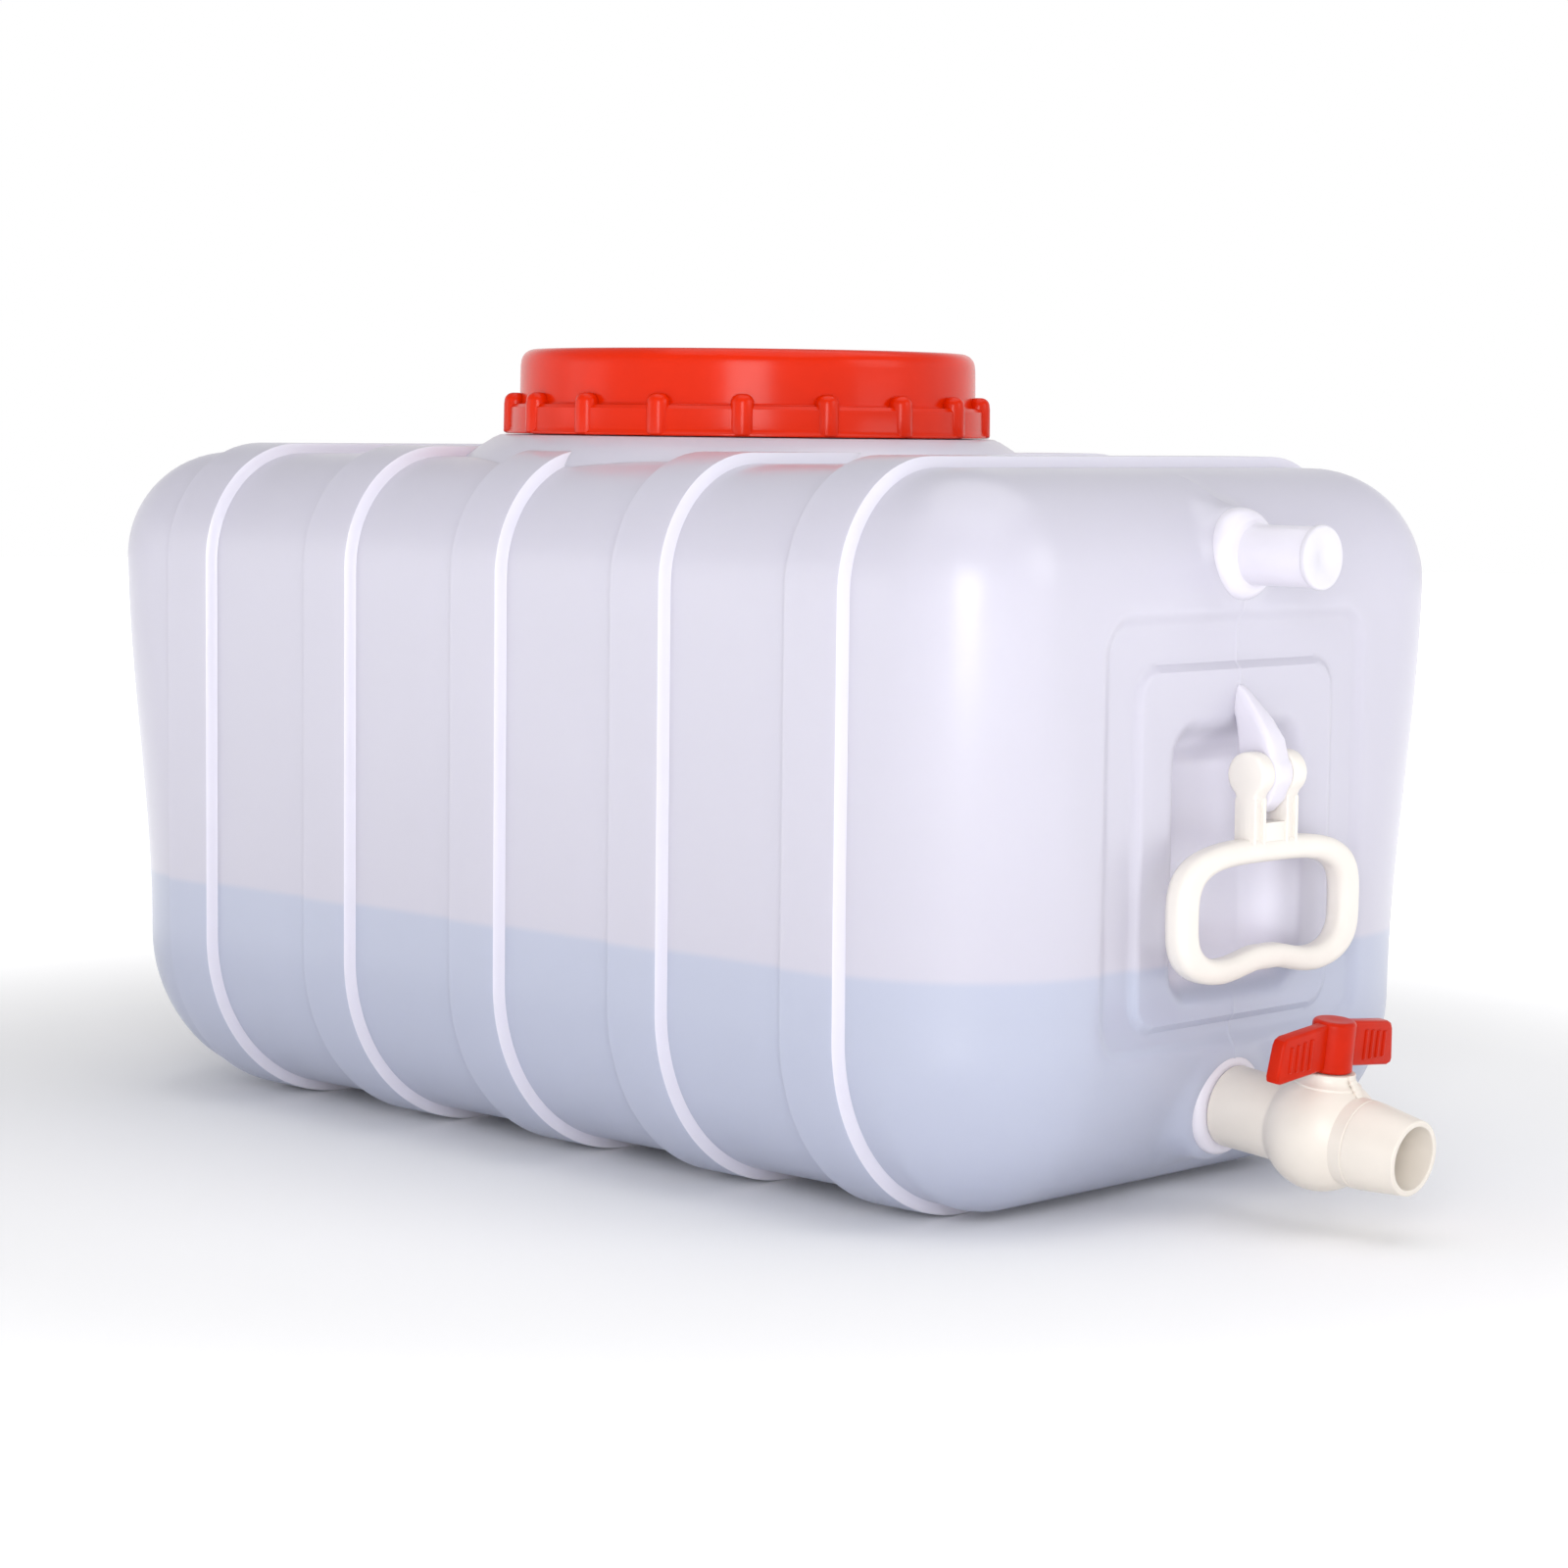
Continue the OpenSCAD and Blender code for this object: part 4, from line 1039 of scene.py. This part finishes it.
def build_camera():
    """A long lens at about the height of the tank's top, turned to show the side and the valve end."""
    data = bpy.data.cameras.new("camera")
    data.sensor_width = 36
    data.lens = 87.54
    camera = bpy.data.objects.new("camera", data)
    heading, pitch, roll = (math.radians(a) for a in (43.657, 5.4375, 0.6843))
    ahead = Vector((-math.sin(heading) * math.cos(pitch), math.cos(heading) * math.cos(pitch),
                    -math.sin(pitch)))
    level = Vector((math.cos(heading), math.sin(heading), 0))
    above = level.cross(ahead)
    right = level * math.cos(roll) + above * math.sin(roll)
    up = above * math.cos(roll) - level * math.sin(roll)
    place = Matrix((right, up, -ahead)).transposed().to_4x4()
    place.translation = Vector((3.9412, -4.0435, 1.0423)) * BODY_H
    camera.matrix_world = place
    bpy.context.scene.collection.objects.link(camera)
    bpy.context.scene.camera = camera


class TankPanel(bpy.types.Panel):
    """Sidebar panel with the tank's sizes, colours and build buttons"""
    bl_idname = "VIEW3D_PT_water_tank"
    bl_label = "Water Tank"
    bl_space_type = "VIEW_3D"
    bl_region_type = "UI"
    bl_category = "Water Tank"

    def draw(self, context):
        for group in (context.scene.tank_sizes, context.scene.tank_colours):
            for key in group.bl_rna.properties.keys():
                if key not in ("rna_type", "name"):
                    self.layout.prop(group, key)
        for operator in OPERATORS:
            self.layout.operator(operator.bl_idname)


OPERATORS = (BuildShell, BuildLid, BuildVentCap, BuildHandles, BuildValve, FinishInnerParts, BuildStage)
CLASSES = (TankSizes, TankColours, *OPERATORS, TankPanel)


def register():
    for cls in CLASSES:
        bpy.utils.register_class(cls)
    bpy.types.Scene.tank_sizes = PointerProperty(type=TankSizes)
    bpy.types.Scene.tank_colours = PointerProperty(type=TankColours)


def unregister():
    del bpy.types.Scene.tank_colours
    del bpy.types.Scene.tank_sizes
    for cls in reversed(CLASSES):
        bpy.utils.unregister_class(cls)


def main():
    register()
    bpy.ops.tank.build_shell()
    bpy.ops.tank.build_lid()
    bpy.ops.tank.build_vent_cap()
    bpy.ops.tank.build_handles()
    bpy.ops.tank.build_valve()
    bpy.ops.tank.finish_inner_parts()
    bpy.ops.tank.build_stage()


if __name__ == "__main__":
    main()
